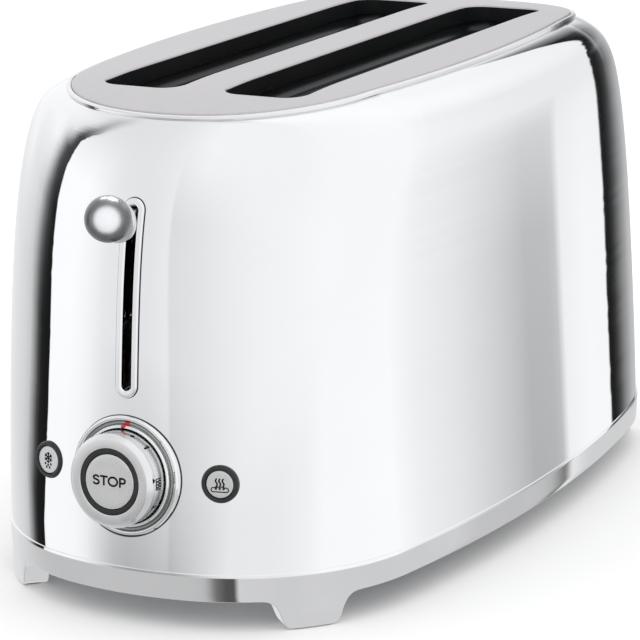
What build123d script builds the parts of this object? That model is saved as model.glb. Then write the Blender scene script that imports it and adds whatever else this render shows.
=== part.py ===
from build123d import *
import math
import os

os.makedirs("parts", exist_ok=True)

# ---------------------------------------------------------------------------
# Four-slice toaster with two long slots. Millimetres, +Z up.
# X is the long axis: lever, dial and buttons are at the -X end, the crumb tray
# and the cord inlet at the +X end. Z = 0 is the surface under the feet.
# All shapes are drawn about the middle of the base and moved by SHIFT_X, and
# up from SOLE, so that the origin is the middle of the object's footprint.
# ---------------------------------------------------------------------------

# Base casting: half length, half width, end / side / corner arc radii.
BASE_A, BASE_B = 187.5, 102.6
BASE_RE, BASE_RS, BASE_RC = 134.5, 682.5, 83.0
SKIRT_BOT = 10.9         # clear height under the base casting
FOOT_H = 12.6            # seat of the screw heads in its flange
SKIRT_TOP = 22.5         # top edge of the base casting
SKIRT_IN = -0.4          # draft: the casting is this much wider at the top
SKIRT_T = 3.4            # its wall
FLANGE = 10.5            # depth of its feet and of the flange that carries the floor
WALL_STEP = 0.3          # body wall stands in from the casting's top edge
T_SHELL = 1.2            # sheet of the body
PAD_H = 0.5              # rubber pad under each foot
SOLE = -1.9              # level of the floor while drawing; the files are moved up onto it
FOOT_X = 160.0           # middle of a foot, measured along X on the outline

# Top plate: flat in the middle, its ends bent down a little
TOP_A, TOP_B = 153.3, 73.4
TOP_RE, TOP_RS, TOP_RC = 88.3, 678.5, 60.0
TOP_Z = 206.7            # upper face of the top plate
FLAT_X = 85.0            # flat half length
DROP_R = 578.0           # radius of the bent ends
T_TOP = 1.5
RIM_H = 2.0              # height of the bright rim under the plate's edge
RIM_OUT = 2.3            # rim stands out from the plate's edge

# Body wall: inset of the end and side walls from bottom to top
END_LEAN, END_POW = 15.1, 6.6
SIDE_LEAN, SIDE_POW = 7.8, 38.0
RAD_POW, COR_C = 2.0, 0.25
END_DROP = 4.2           # the end wall meets the rim this much lower

# Bread slots in the top plate
SLOT_Y0, SLOT_Y1 = 10.1, 47.2
SLOT_X = 120.0
SLOT_R = 9.0
LIP = 8.0                # depth of the turned-down lips

# Controls on the end wall
DIAL_Z = 59.8
WALL_TILT = 0.0726       # lean of the dial's axis, radians
BEZEL_R = 24.65
KNOB_R = 19.25
KNOB_OUT = 13.8          # front of the knob from the bezel's back plane
RING_RO, RING_RI = 13.5, 11.5
BTN_Y, BTN_R = 40.1, 7.75
BTN_YAW = 0.247

# Lever
SLOT_TOP, SLOT_BOT = 171.6, 91.8      # outer ends of the slot trim
TRIM_W = 11.4
SLIT_W = 5.6
BALL_R = 9.1
BALL_Z = 167.1
BALL_X = -191.9
TRAVEL = 64.0

SHIFT_X = 0.0            # set below from the overall length
# ---------------------------------------------------------------------------


def outline_pts(a, b, re, rs, rc):
    # Quarter of the plan: end arc, corner arc and side arc, tangent to each other.
    c1 = (a - re, 0.0)
    c2 = (0.0, b - rs)
    r1, r2 = re - rc, rs - rc
    dx, dy = c2[0] - c1[0], c2[1] - c1[1]
    d = math.hypot(dx, dy)
    aa = (r1 * r1 - r2 * r2 + d * d) / (2 * d)
    h = math.sqrt(max(r1 * r1 - aa * aa, 0.0))
    mx, my = c1[0] + aa * dx / d, c1[1] + aa * dy / d
    px, py = -dy / d, dx / d
    c = max([(mx + h * px, my + h * py), (mx - h * px, my - h * py)], key=lambda p: p[0] + p[1])
    t1 = math.atan2(c[1] - c1[1], c[0] - c1[0])
    t2 = math.atan2(c[1] - c2[1], c[0] - c2[0])
    return c1, c2, c, t1, t2


def outline_wire(a, b, re, rs, rc, z):
    c1, c2, c, t1, t2 = outline_pts(a, b, re, rs, rc)

    def on(cc, r, t):
        return (cc[0] + r * math.cos(t), cc[1] + r * math.sin(t))

    j1 = on(c1, re, t1)
    j2 = on(c2, rs, t2)
    m = on(c, rc, (t1 + t2) / 2)
    e0 = (a, 0.0)
    s0 = (0.0, b)
    es = []

    def arc(p, q, r):
        es.append(Edge.make_three_point_arc((p[0], p[1], z), (q[0], q[1], z), (r[0], r[1], z)))

    arc((j1[0], -j1[1]), e0, j1)
    arc(j1, m, j2)
    arc(j2, s0, (-j2[0], j2[1]))
    arc((-j2[0], j2[1]), (-m[0], m[1]), (-j1[0], j1[1]))
    arc((-j1[0], j1[1]), (-e0[0], 0.0), (-j1[0], -j1[1]))
    arc((-j1[0], -j1[1]), (-m[0], -m[1]), (-j2[0], -j2[1]))
    arc((-j2[0], -j2[1]), (0.0, -s0[1]), (j2[0], -j2[1]))
    arc((j2[0], -j2[1]), (m[0], -m[1]), (j1[0], -j1[1]))
    return Wire(es)


def prism(a, b, re, rs, rc, z0, z1):
    return Solid.extrude(Face(outline_wire(a, b, re, rs, rc, z0)), Vector(0, 0, z1 - z0))


def base_prism(inset, z0, z1):
    return prism(BASE_A - inset, BASE_B - inset, BASE_RE - inset, BASE_RS - inset, BASE_RC - inset, z0, z1)


def top_prism(off, z0, z1):
    return prism(TOP_A + off, TOP_B + off, TOP_RE + off, TOP_RS + off, TOP_RC + off, z0, z1)


WALL_Z0 = SKIRT_TOP
WALL_Z1 = TOP_Z - T_TOP - RIM_H
WALL_ZE = WALL_Z1 - END_DROP


def wall_dims(z):
    # Plan of the body wall at height z. The end wall reaches the rim a little
    # lower than the side wall.
    w = (z - WALL_Z0) / (WALL_Z1 - WALL_Z0)
    we = (z - WALL_Z0) / (WALL_ZE - WALL_Z0)
    a0 = BASE_A - SKIRT_IN - WALL_STEP
    b0 = BASE_B - SKIRT_IN - WALL_STEP
    a1, b1 = TOP_A + RIM_OUT, TOP_B + RIM_OUT
    a = a0 - END_LEAN * we - (a0 - END_LEAN - a1) * we ** END_POW
    b = b0 - SIDE_LEAN * w - (b0 - SIDE_LEAN - b1) * w ** SIDE_POW
    f1, f2 = w ** RAD_POW, (1 + COR_C) * w / (w + COR_C)
    re = BASE_RE * (1 - f1) + (TOP_RE + RIM_OUT) * f1
    rs = BASE_RS * (1 - f1) + (TOP_RS + RIM_OUT) * f1
    rc = BASE_RC * (1 - f2) + (TOP_RC + RIM_OUT) * f2
    return a, b, re, rs, min(rc, re - 1.0)


def wall_a(z):
    return wall_dims(z)[0]


LEVELS = [0.0, 0.3, 0.55, 0.72, 0.83, 0.9, 0.94, 0.965, 0.98, 0.99, 1.0]


def wall_loft(inset, top_drop=0.0):
    ws = []
    for w in LEVELS:
        zz = WALL_Z0 + w * (WALL_Z1 - WALL_Z0)
        a, b, re, rs, rc = wall_dims(zz)
        z = WALL_Z0 + w * (WALL_Z1 - top_drop - WALL_Z0)
        ws.append(outline_wire(a - inset, b - inset, re - inset, rs - inset, rc - inset, z))
    return Solid.make_loft(ws, True)


def bx(x0, x1, y0, y1, z0, z1):
    return Pos((x0 + x1) / 2, (y0 + y1) / 2, (z0 + z1) / 2) * Box(x1 - x0, y1 - y0, z1 - z0)


def cx(x0, x1, y, z, r):
    return Pos((x0 + x1) / 2, y, z) * Rot(0, 90, 0) * Cylinder(r, x1 - x0)


def cy(x, y0, y1, z, r):
    return Pos(x, (y0 + y1) / 2, z) * Rot(90, 0, 0) * Cylinder(r, y1 - y0)


def cz(x, y, z0, z1, r):
    return Pos(x, y, (z0 + z1) / 2) * Cylinder(r, z1 - z0)


def rounded_slab(x0, x1, y0, y1, z0, z1, r):
    # Plate with rounded corners in plan.
    s = Pos((x0 + x1) / 2, (y0 + y1) / 2, z0) * RectangleRounded(x1 - x0, y1 - y0, r)
    return extrude(s, z1 - z0)


def yz_slab(x0, x1, y0, y1, z0, z1, r):
    # Plate standing across X with rounded corners.
    pl = Plane(origin=(x0, (y0 + y1) / 2, (z0 + z1) / 2), x_dir=(0, 1, 0), z_dir=(1, 0, 0))
    return extrude(pl * RectangleRounded(y1 - y0, z1 - z0, r), x1 - x0)


# Local frame on the end wall: z axis points out of the wall.
def wall_plane(y, z, yaw, tilt, x):
    n = Vector(-math.cos(yaw) * math.cos(tilt), math.sin(yaw) * math.cos(tilt), math.sin(tilt))
    xd = Vector(math.sin(yaw), math.cos(yaw), 0) * -1
    return Plane(origin=(x, y, z), x_dir=xd, z_dir=n)


def under_crown(z):
    # Everything below the top surface: flat in the middle, bent down at the ends.
    x1 = 200.0
    t = math.asin((x1 - FLAT_X) / DROP_R)
    tm = t / 2
    pts = []
    for u in (tm, t):
        pts.append((FLAT_X + DROP_R * math.sin(u), z - DROP_R * (1 - math.cos(u))))
    (xm, zm), (xe, ze) = pts
    w = Wire([
        Edge.make_line((-FLAT_X, 0, z), (FLAT_X, 0, z)),
        Edge.make_three_point_arc((FLAT_X, 0, z), (xm, 0, zm), (xe, 0, ze)),
        Edge.make_line((xe, 0, ze), (xe, 0, 0)),
        Edge.make_line((xe, 0, 0), (-xe, 0, 0)),
        Edge.make_line((-xe, 0, 0), (-xe, 0, ze)),
        Edge.make_three_point_arc((-xe, 0, ze), (-xm, 0, zm), (-FLAT_X, 0, z)),
    ])
    f = Face(w)
    return Solid.extrude(f, Vector(0, 130, 0)) + Solid.extrude(f, Vector(0, -130, 0))


def y_on(x, a, b, re, rs, rc):
    # y of the outline above a given |x|
    c1, c2, c, t1, t2 = outline_pts(a, b, re, rs, rc)
    x = abs(x)
    if x <= c2[0] + rs * math.cos(t2):
        return c2[1] + math.sqrt(rs * rs - x * x)
    if x <= c1[0] + re * math.cos(t1):
        return c[1] + math.sqrt(rc * rc - (x - c[0]) ** 2)
    return math.sqrt(max(re * re - (x - c1[0]) ** 2, 0.0))


NODES = {}


def node(name, shape):
    NODES[name] = shape


# ----------------------------------------------------------------- body wall
DIAL_X = -(wall_a(DIAL_Z) - 1.2)
DIAL = wall_plane(0, DIAL_Z, 0, WALL_TILT, DIAL_X)


def end_x(y, z):
    a, b, re, rs, rc = wall_dims(z)
    c1, c2, c, t1, t2 = outline_pts(a, b, re, rs, rc)
    y = abs(y)
    if y <= re * math.sin(t1):
        return c1[0] + math.sqrt(re * re - y * y)
    return c[0] + math.sqrt(rc * rc - (y - c[1]) ** 2)


BTN = {s: wall_plane(s * BTN_Y, DIAL_Z, s * BTN_YAW, WALL_TILT, -(end_x(BTN_Y, DIAL_Z) - 0.4)) for s in (1, -1)}
INLET_Y, INLET_Z = -52.0, 40.0
INLET_YAW, INLET_TILT = 0.479, 0.069
INLET = Plane(origin=(end_x(INLET_Y, INLET_Z), INLET_Y, INLET_Z), x_dir=(math.sin(INLET_YAW), math.cos(INLET_YAW), 0),
              z_dir=(math.cos(INLET_YAW) * math.cos(INLET_TILT), -math.sin(INLET_YAW) * math.cos(INLET_TILT), math.sin(INLET_TILT)))

outer = wall_loft(0.0)
inner = wall_loft(T_SHELL, T_SHELL)
below = prism(BASE_A - SKIRT_IN - WALL_STEP - T_SHELL, BASE_B - SKIRT_IN - WALL_STEP - T_SHELL,
              BASE_RE - T_SHELL, BASE_RS - T_SHELL, BASE_RC - T_SHELL, WALL_Z0 - 5, WALL_Z0)
shell = outer - inner - below
# space that the inner pieces keep to
inside = wall_loft(2.6, 4.0) + base_prism(5.0, FOOT_H + 1.0, WALL_Z0 + 0.5)
shell = (shell & under_crown(WALL_Z1)) - top_prism(-7.0, TOP_Z - 20, TOP_Z + 5)
# lever slot, dial hole, button holes and cord inlet hole
shell = shell - yz_slab(-200, -130, -(TRIM_W / 2 - 1.2), TRIM_W / 2 - 1.2, SLOT_BOT + 1.2, SLOT_TOP - 1.2,
                        TRIM_W / 2 - 1.21)
shell = shell - DIAL * Pos(0, 0, 0) * Cylinder(BEZEL_R + 0.04, 30)
for s in (1, -1):
    shell = shell - BTN[s] * Cylinder(BTN_R + 0.04, 24)
shell = shell - INLET * Cylinder(6.9, 30)
# the body's panels: front end, rear end and the two long sides, joined where they meet
SEAM_X = 150.0
node("shell_front_end", shell & bx(-210, -SEAM_X, -120, 120, 0, 240))
node("shell_rear_end", shell & bx(SEAM_X, 210, -120, 120, 0, 240))
node("shell_side_left", shell & bx(-SEAM_X, SEAM_X, 0, 120, 0, 240))
node("shell_side_right", shell & bx(-SEAM_X, SEAM_X, -120, 0, 0, 240))

# ----------------------------------------------------------------- base
skirt = Solid.make_loft([
    outline_wire(BASE_A, BASE_B, BASE_RE, BASE_RS, BASE_RC, SKIRT_BOT),
    outline_wire(BASE_A - SKIRT_IN, BASE_B - SKIRT_IN, BASE_RE - SKIRT_IN, BASE_RS - SKIRT_IN,
                 BASE_RC - SKIRT_IN, SKIRT_TOP)], True)
skirt = skirt - base_prism(SKIRT_T, FOOT_H + 2.0, SKIRT_TOP + 1) - base_prism(FLANGE, SKIRT_BOT - 1, FOOT_H + 3)


def foot_frame(sx, sy):
    # Frame at the middle of a foot: x along the outline, y up, z inwards.
    c1, c2, c, t1, t2 = outline_pts(BASE_A, BASE_B, BASE_RE, BASE_RS, BASE_RC)
    t = math.acos((FOOT_X - c[0]) / BASE_RC)
    px, py = sx * FOOT_X, sy * (c[1] + BASE_RC * math.sin(t))
    nx, ny = sx * math.cos(t), sy * math.sin(t)
    zd = Vector(-nx, -ny, 0)
    xd = Vector(0, 0, 1).cross(zd)
    return Plane(origin=(px + nx * 20, py + ny * 20, 0), x_dir=xd, z_dir=zd)


def foot_profile(h0, h1):
    # Foot seen from outside: hollow flanks into the rim, rounded lower corners.
    pts = [(-10.2, h0), (10.2, h0), (13.0, h1 - 3.8), (15.6, h1 - 1.3), (19.4, h1 + 0.4),
           (-19.4, h1 + 0.4), (-15.6, h1 - 1.3), (-13.0, h1 - 3.8)]
    with BuildSketch() as sk:
        with BuildLine():
            Polyline(*pts, close=True)
        make_face()
        fillet([v for v in sk.vertices() if abs(v.Y - h0) < 0.01], 3.0)
    return sk.sketch


def pad_profile():
    with BuildSketch() as sk:
        with BuildLine():
            Polyline((-8.6, SOLE), (8.6, SOLE), (9.4, SOLE + PAD_H), (-9.4, SOLE + PAD_H), close=True)
        make_face()
    return sk.sketch


feet, pads = None, None
ring = base_prism(0.0, SOLE - 1, SKIRT_BOT + 1.0) - base_prism(FLANGE, SOLE - 2, SKIRT_BOT + 2)
pad_ring = base_prism(1.2, SOLE - 1, SOLE + PAD_H) - base_prism(FLANGE - 1.2, SOLE - 2, SOLE + PAD_H + 2)
for sx in (1, -1):
    for sy in (1, -1):
        pl = foot_frame(sx, sy)
        f = extrude(pl * foot_profile(SOLE + PAD_H, SKIRT_BOT), 60) & ring
        p = extrude(pl * pad_profile(), 60) & pad_ring
        feet = f if feet is None else feet + f
        pads = p if pads is None else pads + p
skirt = skirt + feet
# window for the crumb tray at the rear end
TRAY_Y = 58.0
TRAY_Z0, TRAY_Z1 = 16.6, 20.4
skirt = skirt - bx(150, 230, -TRAY_Y - 0.6, TRAY_Y + 0.6, TRAY_Z0 - 0.5, TRAY_Z1 + 0.5)


def rim_xy(x, inset=7.0):
    return (x, y_on(x, BASE_A - inset, BASE_B - inset, BASE_RE - inset, BASE_RS - inset, BASE_RC - inset))


SCREW_XY = []
for x in (60.0, 134.0):
    px, py = rim_xy(x)
    SCREW_XY += [(px, py), (-px, py), (px, -py), (-px, -py)]
for x, y in SCREW_XY:
    skirt = skirt - cz(x, y, 0, 30, 1.7) - cz(x, y, 0, FOOT_H, 2.75)
node("base_skirt", skirt)
node("foot_pads", pads)

# floor plate on the casting's ledge, screwed from below
FLOOR_Z = FOOT_H + 3.2
floor = base_prism(SKIRT_T + 0.4, FOOT_H + 2.0, FLOOR_Z)
floor = floor - bx(-95, 95, -46, 46, 0, 30)
vent = None
for i in range(9):
    x = -88 + i * 22
    for y in (-72, 72):
        v = rounded_slab(x - 3, x + 3, y - 7, y + 7, 10, 20, 2.9)
        vent = v if vent is None else vent + v
floor = floor - vent
LEG_X = -136.5
for x, y in SCREW_XY + [(sx * LEG_X, sy * 63.75) for sx in (1, -1) for sy in (1, -1)]:
    floor = floor - cz(x, y, 0, 30, 1.7)
# rails that guide the crumb tray
for s in (1, -1):
    ya, yb = s * (TRAY_Y + 0.8), s * (TRAY_Y + 1.8)
    floor = floor + bx(-112, 126, min(ya, yb), max(ya, yb), FLOOR_Z, TRAY_Z1 + 1.6)
    ya = s * (TRAY_Y - 2.4)
    floor = floor + bx(-112, 126, min(ya, yb), max(ya, yb), TRAY_Z1 + 0.6, TRAY_Z1 + 1.6)
node("floor_plate", floor)

lid = rounded_slab(-101, 101, -52, 52, FOOT_H + 0.9, FOOT_H + 2.0, 8)
lid = lid + rounded_slab(-94.6, 94.6, -45.6, 45.6, FOOT_H + 2.0, FOOT_H + 3.1, 5)
node("floor_cover", lid)
# two hooks to wind the mains lead on, under the cover
wrap = None
for sx in (1, -1):
    h = rounded_slab(sx * 78 - 8, sx * 78 + 8, -4, 4, 10.6, FOOT_H + 0.9, 3.9) + \
        rounded_slab(sx * 78 - 12, sx * 78 + 12, -7, 7, 8.9, 10.6, 5.0)
    wrap = h if wrap is None else wrap + h
node("cord_wrap", wrap)

scr = None
for x, y in SCREW_XY:
    q = cz(x, y, FOOT_H - 1.9, FOOT_H, 2.6) + cz(x, y, FOOT_H, FOOT_H + 7.5, 1.45)
    q = q - bx(x - 1.9, x + 1.9, y - 0.35, y + 0.35, FOOT_H - 3, FOOT_H - 1.1) \
          - bx(x - 0.35, x + 0.35, y - 1.9, y + 1.9, FOOT_H - 3, FOOT_H - 1.1)
    scr = q if scr is None else scr + q
base_screws = scr

# crumb tray: shallow pan, and a handle bar that follows the casting outside
tray_env = base_prism(-0.9, TRAY_Z0, TRAY_Z1)
pan = (rounded_slab(-108, 215, -TRAY_Y, TRAY_Y, TRAY_Z0, TRAY_Z1, 4) & tray_env)
pan = pan - rounded_slab(-107.2, 230, -TRAY_Y + 0.8, TRAY_Y - 0.8, TRAY_Z0 + 0.8, TRAY_Z1 + 1, 3.4)
node("crumb_tray", pan)
hband = (base_prism(-4.0, TRAY_Z0 - 2.4, TRAY_Z1 + 1.4) - base_prism(-0.9, TRAY_Z0 - 3, TRAY_Z1 + 3)) & \
    bx(150, 240, -TRAY_Y - 2.0, TRAY_Y + 2.0, 0, 40)
grip = bx(BASE_A + 3.0, 200.2, -20, 20, TRAY_Z0 - 0.6, TRAY_Z0 + 1.6)
grip = fillet(grip.edges().filter_by(Axis.Z).group_by(Axis.X)[-1], 5.0)
node("crumb_tray_handle", hband + grip)

# ----------------------------------------------------------------- top
slots, lips = None, None
for s in (1, -1):
    y0, y1 = min(s * SLOT_Y0, s * SLOT_Y1), max(s * SLOT_Y0, s * SLOT_Y1)
    c = rounded_slab(-SLOT_X, SLOT_X, y0, y1, TOP_Z - 40, TOP_Z + 10, SLOT_R)
    slots = c if slots is None else slots + c
    l = rounded_slab(-SLOT_X - 1.0, SLOT_X + 1.0, y0 - 1.0, y1 + 1.0, TOP_Z - LIP, TOP_Z, SLOT_R + 1.0)
    lips = l if lips is None else lips + l
crown_top = under_crown(TOP_Z)
crown_mid = under_crown(TOP_Z - T_TOP)
plate = (top_prism(0.0, TOP_Z - 12, TOP_Z + 1) & crown_top) - crown_mid
plate = plate + (lips & crown_top) - slots
node("top_plate", plate)
rim = ((top_prism(RIM_OUT, TOP_Z - 14, TOP_Z + 1) - top_prism(0.0, TOP_Z - 15, TOP_Z + 2)) & under_crown(TOP_Z - 0.3)) \
    - under_crown(WALL_Z1)
ledge = ((top_prism(0.3, TOP_Z - 14, TOP_Z + 1) - top_prism(-5.0, TOP_Z - 15, TOP_Z + 2)) & crown_mid) - under_crown(WALL_Z1)
node("top_rim", rim + ledge)

# liners: dark sheet funnels that carry on from the plate's lips
CH_TOP = TOP_Z - LIP - 0.2
for s, nm in ((1, "slot_liner_left"), (-1, "slot_liner_right")):
    y0, y1 = min(s * SLOT_Y0, s * SLOT_Y1), max(s * SLOT_Y0, s * SLOT_Y1)
    l = rounded_slab(-SLOT_X - 2.0, SLOT_X + 2.0, y0 - 2.0, y1 + 2.0, 193.0, CH_TOP - 0.2, SLOT_R + 2.0) - \
        rounded_slab(-SLOT_X - 1.2, SLOT_X + 1.2, y0 - 1.2, y1 + 1.2, 190.0, TOP_Z, SLOT_R + 1.2)
    liner = l if s == 1 else liner + l
node("slot_liners", liner)

# ----------------------------------------------------------------- heating chamber
CH_X = 130.0
CH_Y = 66.0
CH_Z0, CH_Z1 = 26.0, 192.5
RACK_Y = (SLOT_Y0 + SLOT_Y1) / 2
RACK_Z = 110.0            # upper edge of the bread racks at rest
GUIDE_OUT, GUIDE_IN = 55.4, 8.7
MOVE_OUT, MOVE_IN = 9.0, 7.0


def end_plate(sx):
    x0, x1 = (-CH_X - 1.0, -CH_X) if sx < 0 else (CH_X, CH_X + 1.0)
    f0, f1 = (x0 - 12, x0) if sx < 0 else (x1, x1 + 12)
    p = bx(x0, x1, -CH_Y, CH_Y, CH_Z0, CH_Z1)
    p = p + bx(min(f0, x0), max(f1, x1), -CH_Y, CH_Y, CH_Z1 - 1, CH_Z1)
    for s in (1, -1):
        ya, yb = min(s * 61.5, s * CH_Y), max(s * 61.5, s * CH_Y)
        p = p + bx(x0, x1, ya, yb, FLOOR_Z, CH_Z0)
        p = p + bx(min(f0, x0), max(f1, x1), ya, yb, FLOOR_Z, FLOOR_Z + 1.0)
        p = p - cz(sx * 136.5, s * 63.75, 0, 30, 1.7)
        # travel slots of the bread racks, and of the guides' ends
        p = p - yz_slab(x0 - 1, x1 + 1, s * RACK_Y - 2.4, s * RACK_Y + 2.4, RACK_Z - TRAVEL - 15, RACK_Z + 3, 2.3)
        for z in (97.0, 144.0):
            for g0, g1 in ((s * GUIDE_OUT, s * (GUIDE_OUT - MOVE_OUT)), (s * GUIDE_IN, s * (GUIDE_IN + MOVE_IN))):
                p = p - bx(x0 - 1, x1 + 1, min(g0, g1) - 1.9, max(g0, g1) + 1.9, z - 1.9, z + 1.9)
    return p


node("chassis_front", end_plate(-1) & inside)
node("chassis_rear", end_plate(1) & inside)
for s, nm in ((1, "reflector_left"), (-1, "reflector_right")):
    r = bx(-CH_X, CH_X, min(s * 63.4, s * 64.2), max(s * 63.4, s * 64.2), 30, CH_Z1 - 1.0)
    r = r + bx(-CH_X, CH_X, min(s * 59.0, s * 64.2), max(s * 59.0, s * 64.2), 29.2, 30.0)
    node(nm, r)
# top deck of the chamber, around both slots
deck = bx(-142, 142, -CH_Y, CH_Y, CH_Z1, CH_Z1 + 0.5)
for s in (1, -1):
    y0, y1 = min(s * SLOT_Y0, s * SLOT_Y1), max(s * SLOT_Y0, s * SLOT_Y1)
    deck = deck - rounded_slab(-SLOT_X - 1.2, SLOT_X + 1.2, y0 - 1.2, y1 + 1.2, CH_Z1 - 1, CH_Z1 + 2, SLOT_R + 1.2)
node("chamber_deck", deck & inside)

# heater boards: mica sheets with ribbon wound on the side that faces the bread
HB_Z0, HB_Z1 = 44.0, 186.0


def heater(y, face):
    card = bx(-CH_X, CH_X, y - 0.4, y + 0.4, HB_Z0, HB_Z1)
    ya, yb = (y + 0.4, y + 0.8) if face > 0 else (y - 0.8, y - 0.4)
    n = 15
    st = (HB_Z1 - HB_Z0 - 18) / (n - 1)
    parts = []
    for i in range(n):
        z = HB_Z0 + 9 + i * st
        parts.append(bx(-118, 118, ya, yb, z - 0.9, z + 0.9))
        if i < n - 1:
            e = 116.2 if i % 2 == 0 else -118
            parts.append(bx(e, e + 1.8, ya, yb, z, z + st))
    rib = parts[0].fuse(*parts[1:])
    return card, rib


HEAT = {}
for nm, y, face in (("outer_left", 61.4, -1), ("inner_left", 3.0, 1), ("inner_right", -3.0, -1), ("outer_right", -61.4, 1)):
    card, rib = heater(y, face)
    HEAT[nm] = (card, rib)
node("heater_boards", HEAT["outer_left"][0] + HEAT["outer_right"][0] + HEAT["inner_left"][0] + HEAT["inner_right"][0])
node("heater_ribbons", HEAT["outer_left"][1] + HEAT["outer_right"][1] + HEAT["inner_left"][1] + HEAT["inner_right"][1])


def guide(y):
    # Wire grid beside the bread; two of its wires run out through the end plates.
    top, bot = 189.0, 50.0
    parts = []
    for i in range(13):
        parts.append(cz(-114 + i * 19.0, y, bot, top, 1.0))
    for z in (bot, top):
        parts.append(cx(-115.0, 115.0, y, z, 1.3))
    for z in (97.0, 144.0):
        parts.append(cx(-134.0, 134.0, y, z, 1.3))
    return parts[0].fuse(*parts[1:])


for nm, y in (("outer_left", GUIDE_OUT), ("inner_left", GUIDE_IN), ("inner_right", -GUIDE_IN), ("outer_right", -GUIDE_OUT)):
    node("bread_guide_" + nm, guide(y))

# ----------------------------------------------------------------- carriage
CAR_X0, CAR_X1 = -141.5, -140.0
ROD_Y = 24.0
ROD_X = -147.0
carriage = bx(CAR_X0, CAR_X1, -46, 46, RACK_Z - 14, RACK_Z + 2)
carriage = carriage + bx(CAR_X0, CAR_X1, -12, 12, RACK_Z - 14, RACK_Z + 44)
for s in (1, -1):
    for z in (RACK_Z - 12.0, RACK_Z + 1.0):
        carriage = carriage + bx(ROD_X - 6, CAR_X1, s * ROD_Y - 6, s * ROD_Y + 6, z - 1.0, z + 1.0)
    carriage = carriage - cz(ROD_X, s * ROD_Y, 0, 300, 3.9)
# ear that the return spring hooks on
SPR_Y = -36.0
carriage = carriage + bx(ROD_X - 4, CAR_X1, SPR_Y - 4, SPR_Y + 4, RACK_Z - 1.0, RACK_Z + 0.5)
node("carriage_plate", carriage)
bush = None
for s in (1, -1):
    b = cz(ROD_X, s * ROD_Y, RACK_Z - 14.0, RACK_Z + 3.5, 3.9) - cz(ROD_X, s * ROD_Y, 0, 300, 2.55)
    bush = b if bush is None else bush + b
node("carriage_bushes", bush)
ROD_Z0, ROD_Z1 = 27.0, 186.0
rods = None
for s in (1, -1):
    r = cz(ROD_X, s * ROD_Y, ROD_Z0, ROD_Z1, 2.5)
    rods = r if rods is None else rods + r
node("guide_rods", rods)
rod_br = (bx(ROD_X - 6, -CH_X - 1.0, -34, 34, ROD_Z0 - 1.2, ROD_Z0)
          + bx(-CH_X - 2.0, -CH_X - 1.0, -34, 34, ROD_Z0, ROD_Z0 + 4.0))
node("rod_brackets", (rod_br + bx(ROD_X - 6, -CH_X - 1.0, -42, 34, ROD_Z1, ROD_Z1 + 1.0)) & inside)
# return spring: a wire coil between the carriage's ear and the upper bracket
SPR_Z0, SPR_Z1 = RACK_Z + 0.5, ROD_Z1
coil_path = Pos(ROD_X, SPR_Y, SPR_Z0 + 0.6) * Helix(pitch=4.0, height=SPR_Z1 - SPR_Z0 - 1.2, radius=3.1)
p0 = coil_path @ 0
t0 = coil_path % 0
spring = sweep(Plane(origin=p0, z_dir=t0) * Circle(0.45), path=coil_path)
node("return_spring", spring)

for s, nm in ((1, "bread_rack_left"), (-1, "bread_rack_right")):
    y = s * RACK_Y
    parts = [bx(CAR_X1 + 1.2, 144.0, y - 0.8, y + 0.8, RACK_Z - 12, RACK_Z - 4),
             bx(-116, 116, y - 0.8, y + 0.8, RACK_Z - 6, RACK_Z),
             bx(CAR_X1, CAR_X1 + 1.2, y - 7, y + 7, RACK_Z - 13, RACK_Z + 1)]
    for i in range(11):
        x = -110 + i * 22.0
        parts.append(bx(x - 1.0, x + 1.0, y - 9.0, y + 9.0, RACK_Z - 2.0, RACK_Z))
    node(nm, parts[0].fuse(*parts[1:]))

# lever arm: a flat bar from the carriage out through the slot to the ball
ARM_W = 3.2
ARM_Z0, ARM_Z1 = BALL_Z - 7.6, BALL_Z - 0.2
arm = bx(-151.0, CAR_X0, -ARM_W / 2, ARM_W / 2, RACK_Z + 27, ARM_Z1) + \
    bx(BALL_X + 6.9, CAR_X0, -ARM_W / 2, ARM_W / 2, ARM_Z0, ARM_Z1)
arm = fillet(arm.edges().filter_by(Axis.Y).group_by(Axis.Z)[0], 2.0)
node("lever_arm", arm)
ball = Pos(BALL_X, 0, BALL_Z) * Sphere(BALL_R) - bx(BALL_X + 6.9, BALL_X + 20, -20, 20, BALL_Z - 20, BALL_Z + 20)
node("lever_knob", ball)
col_x0 = BALL_X + 6.9
collar = cx(col_x0, col_x0 + 2.0, 0, BALL_Z, 8.9)
collar = fillet(collar.edges().filter_by(GeomType.CIRCLE), 0.8)
collar = collar - bx(col_x0 - 1, col_x0 + 10, -ARM_W / 2, ARM_W / 2, ARM_Z0, ARM_Z1)
node("lever_collar", collar)

# trim around the lever slot: lies on the sloping end wall
def slot_slab(off, x0, x1):
    return yz_slab(x0, x1, -(TRIM_W / 2 + off), TRIM_W / 2 + off, SLOT_BOT - off, SLOT_TOP + off,
                   TRIM_W / 2 + off - 0.01)


over = wall_loft(-1.3)
trim = (slot_slab(0.0, -200, -140) & over) - outer - slot_slab(-(TRIM_W - SLIT_W) / 2, -205, -120)
sleeve = (slot_slab(-1.25, -200, -140) & outer) - slot_slab(-(TRIM_W - SLIT_W) / 2, -205, -120) - wall_loft(5.0, 5.0)
node("lever_slot_trim", trim + sleeve)

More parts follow.
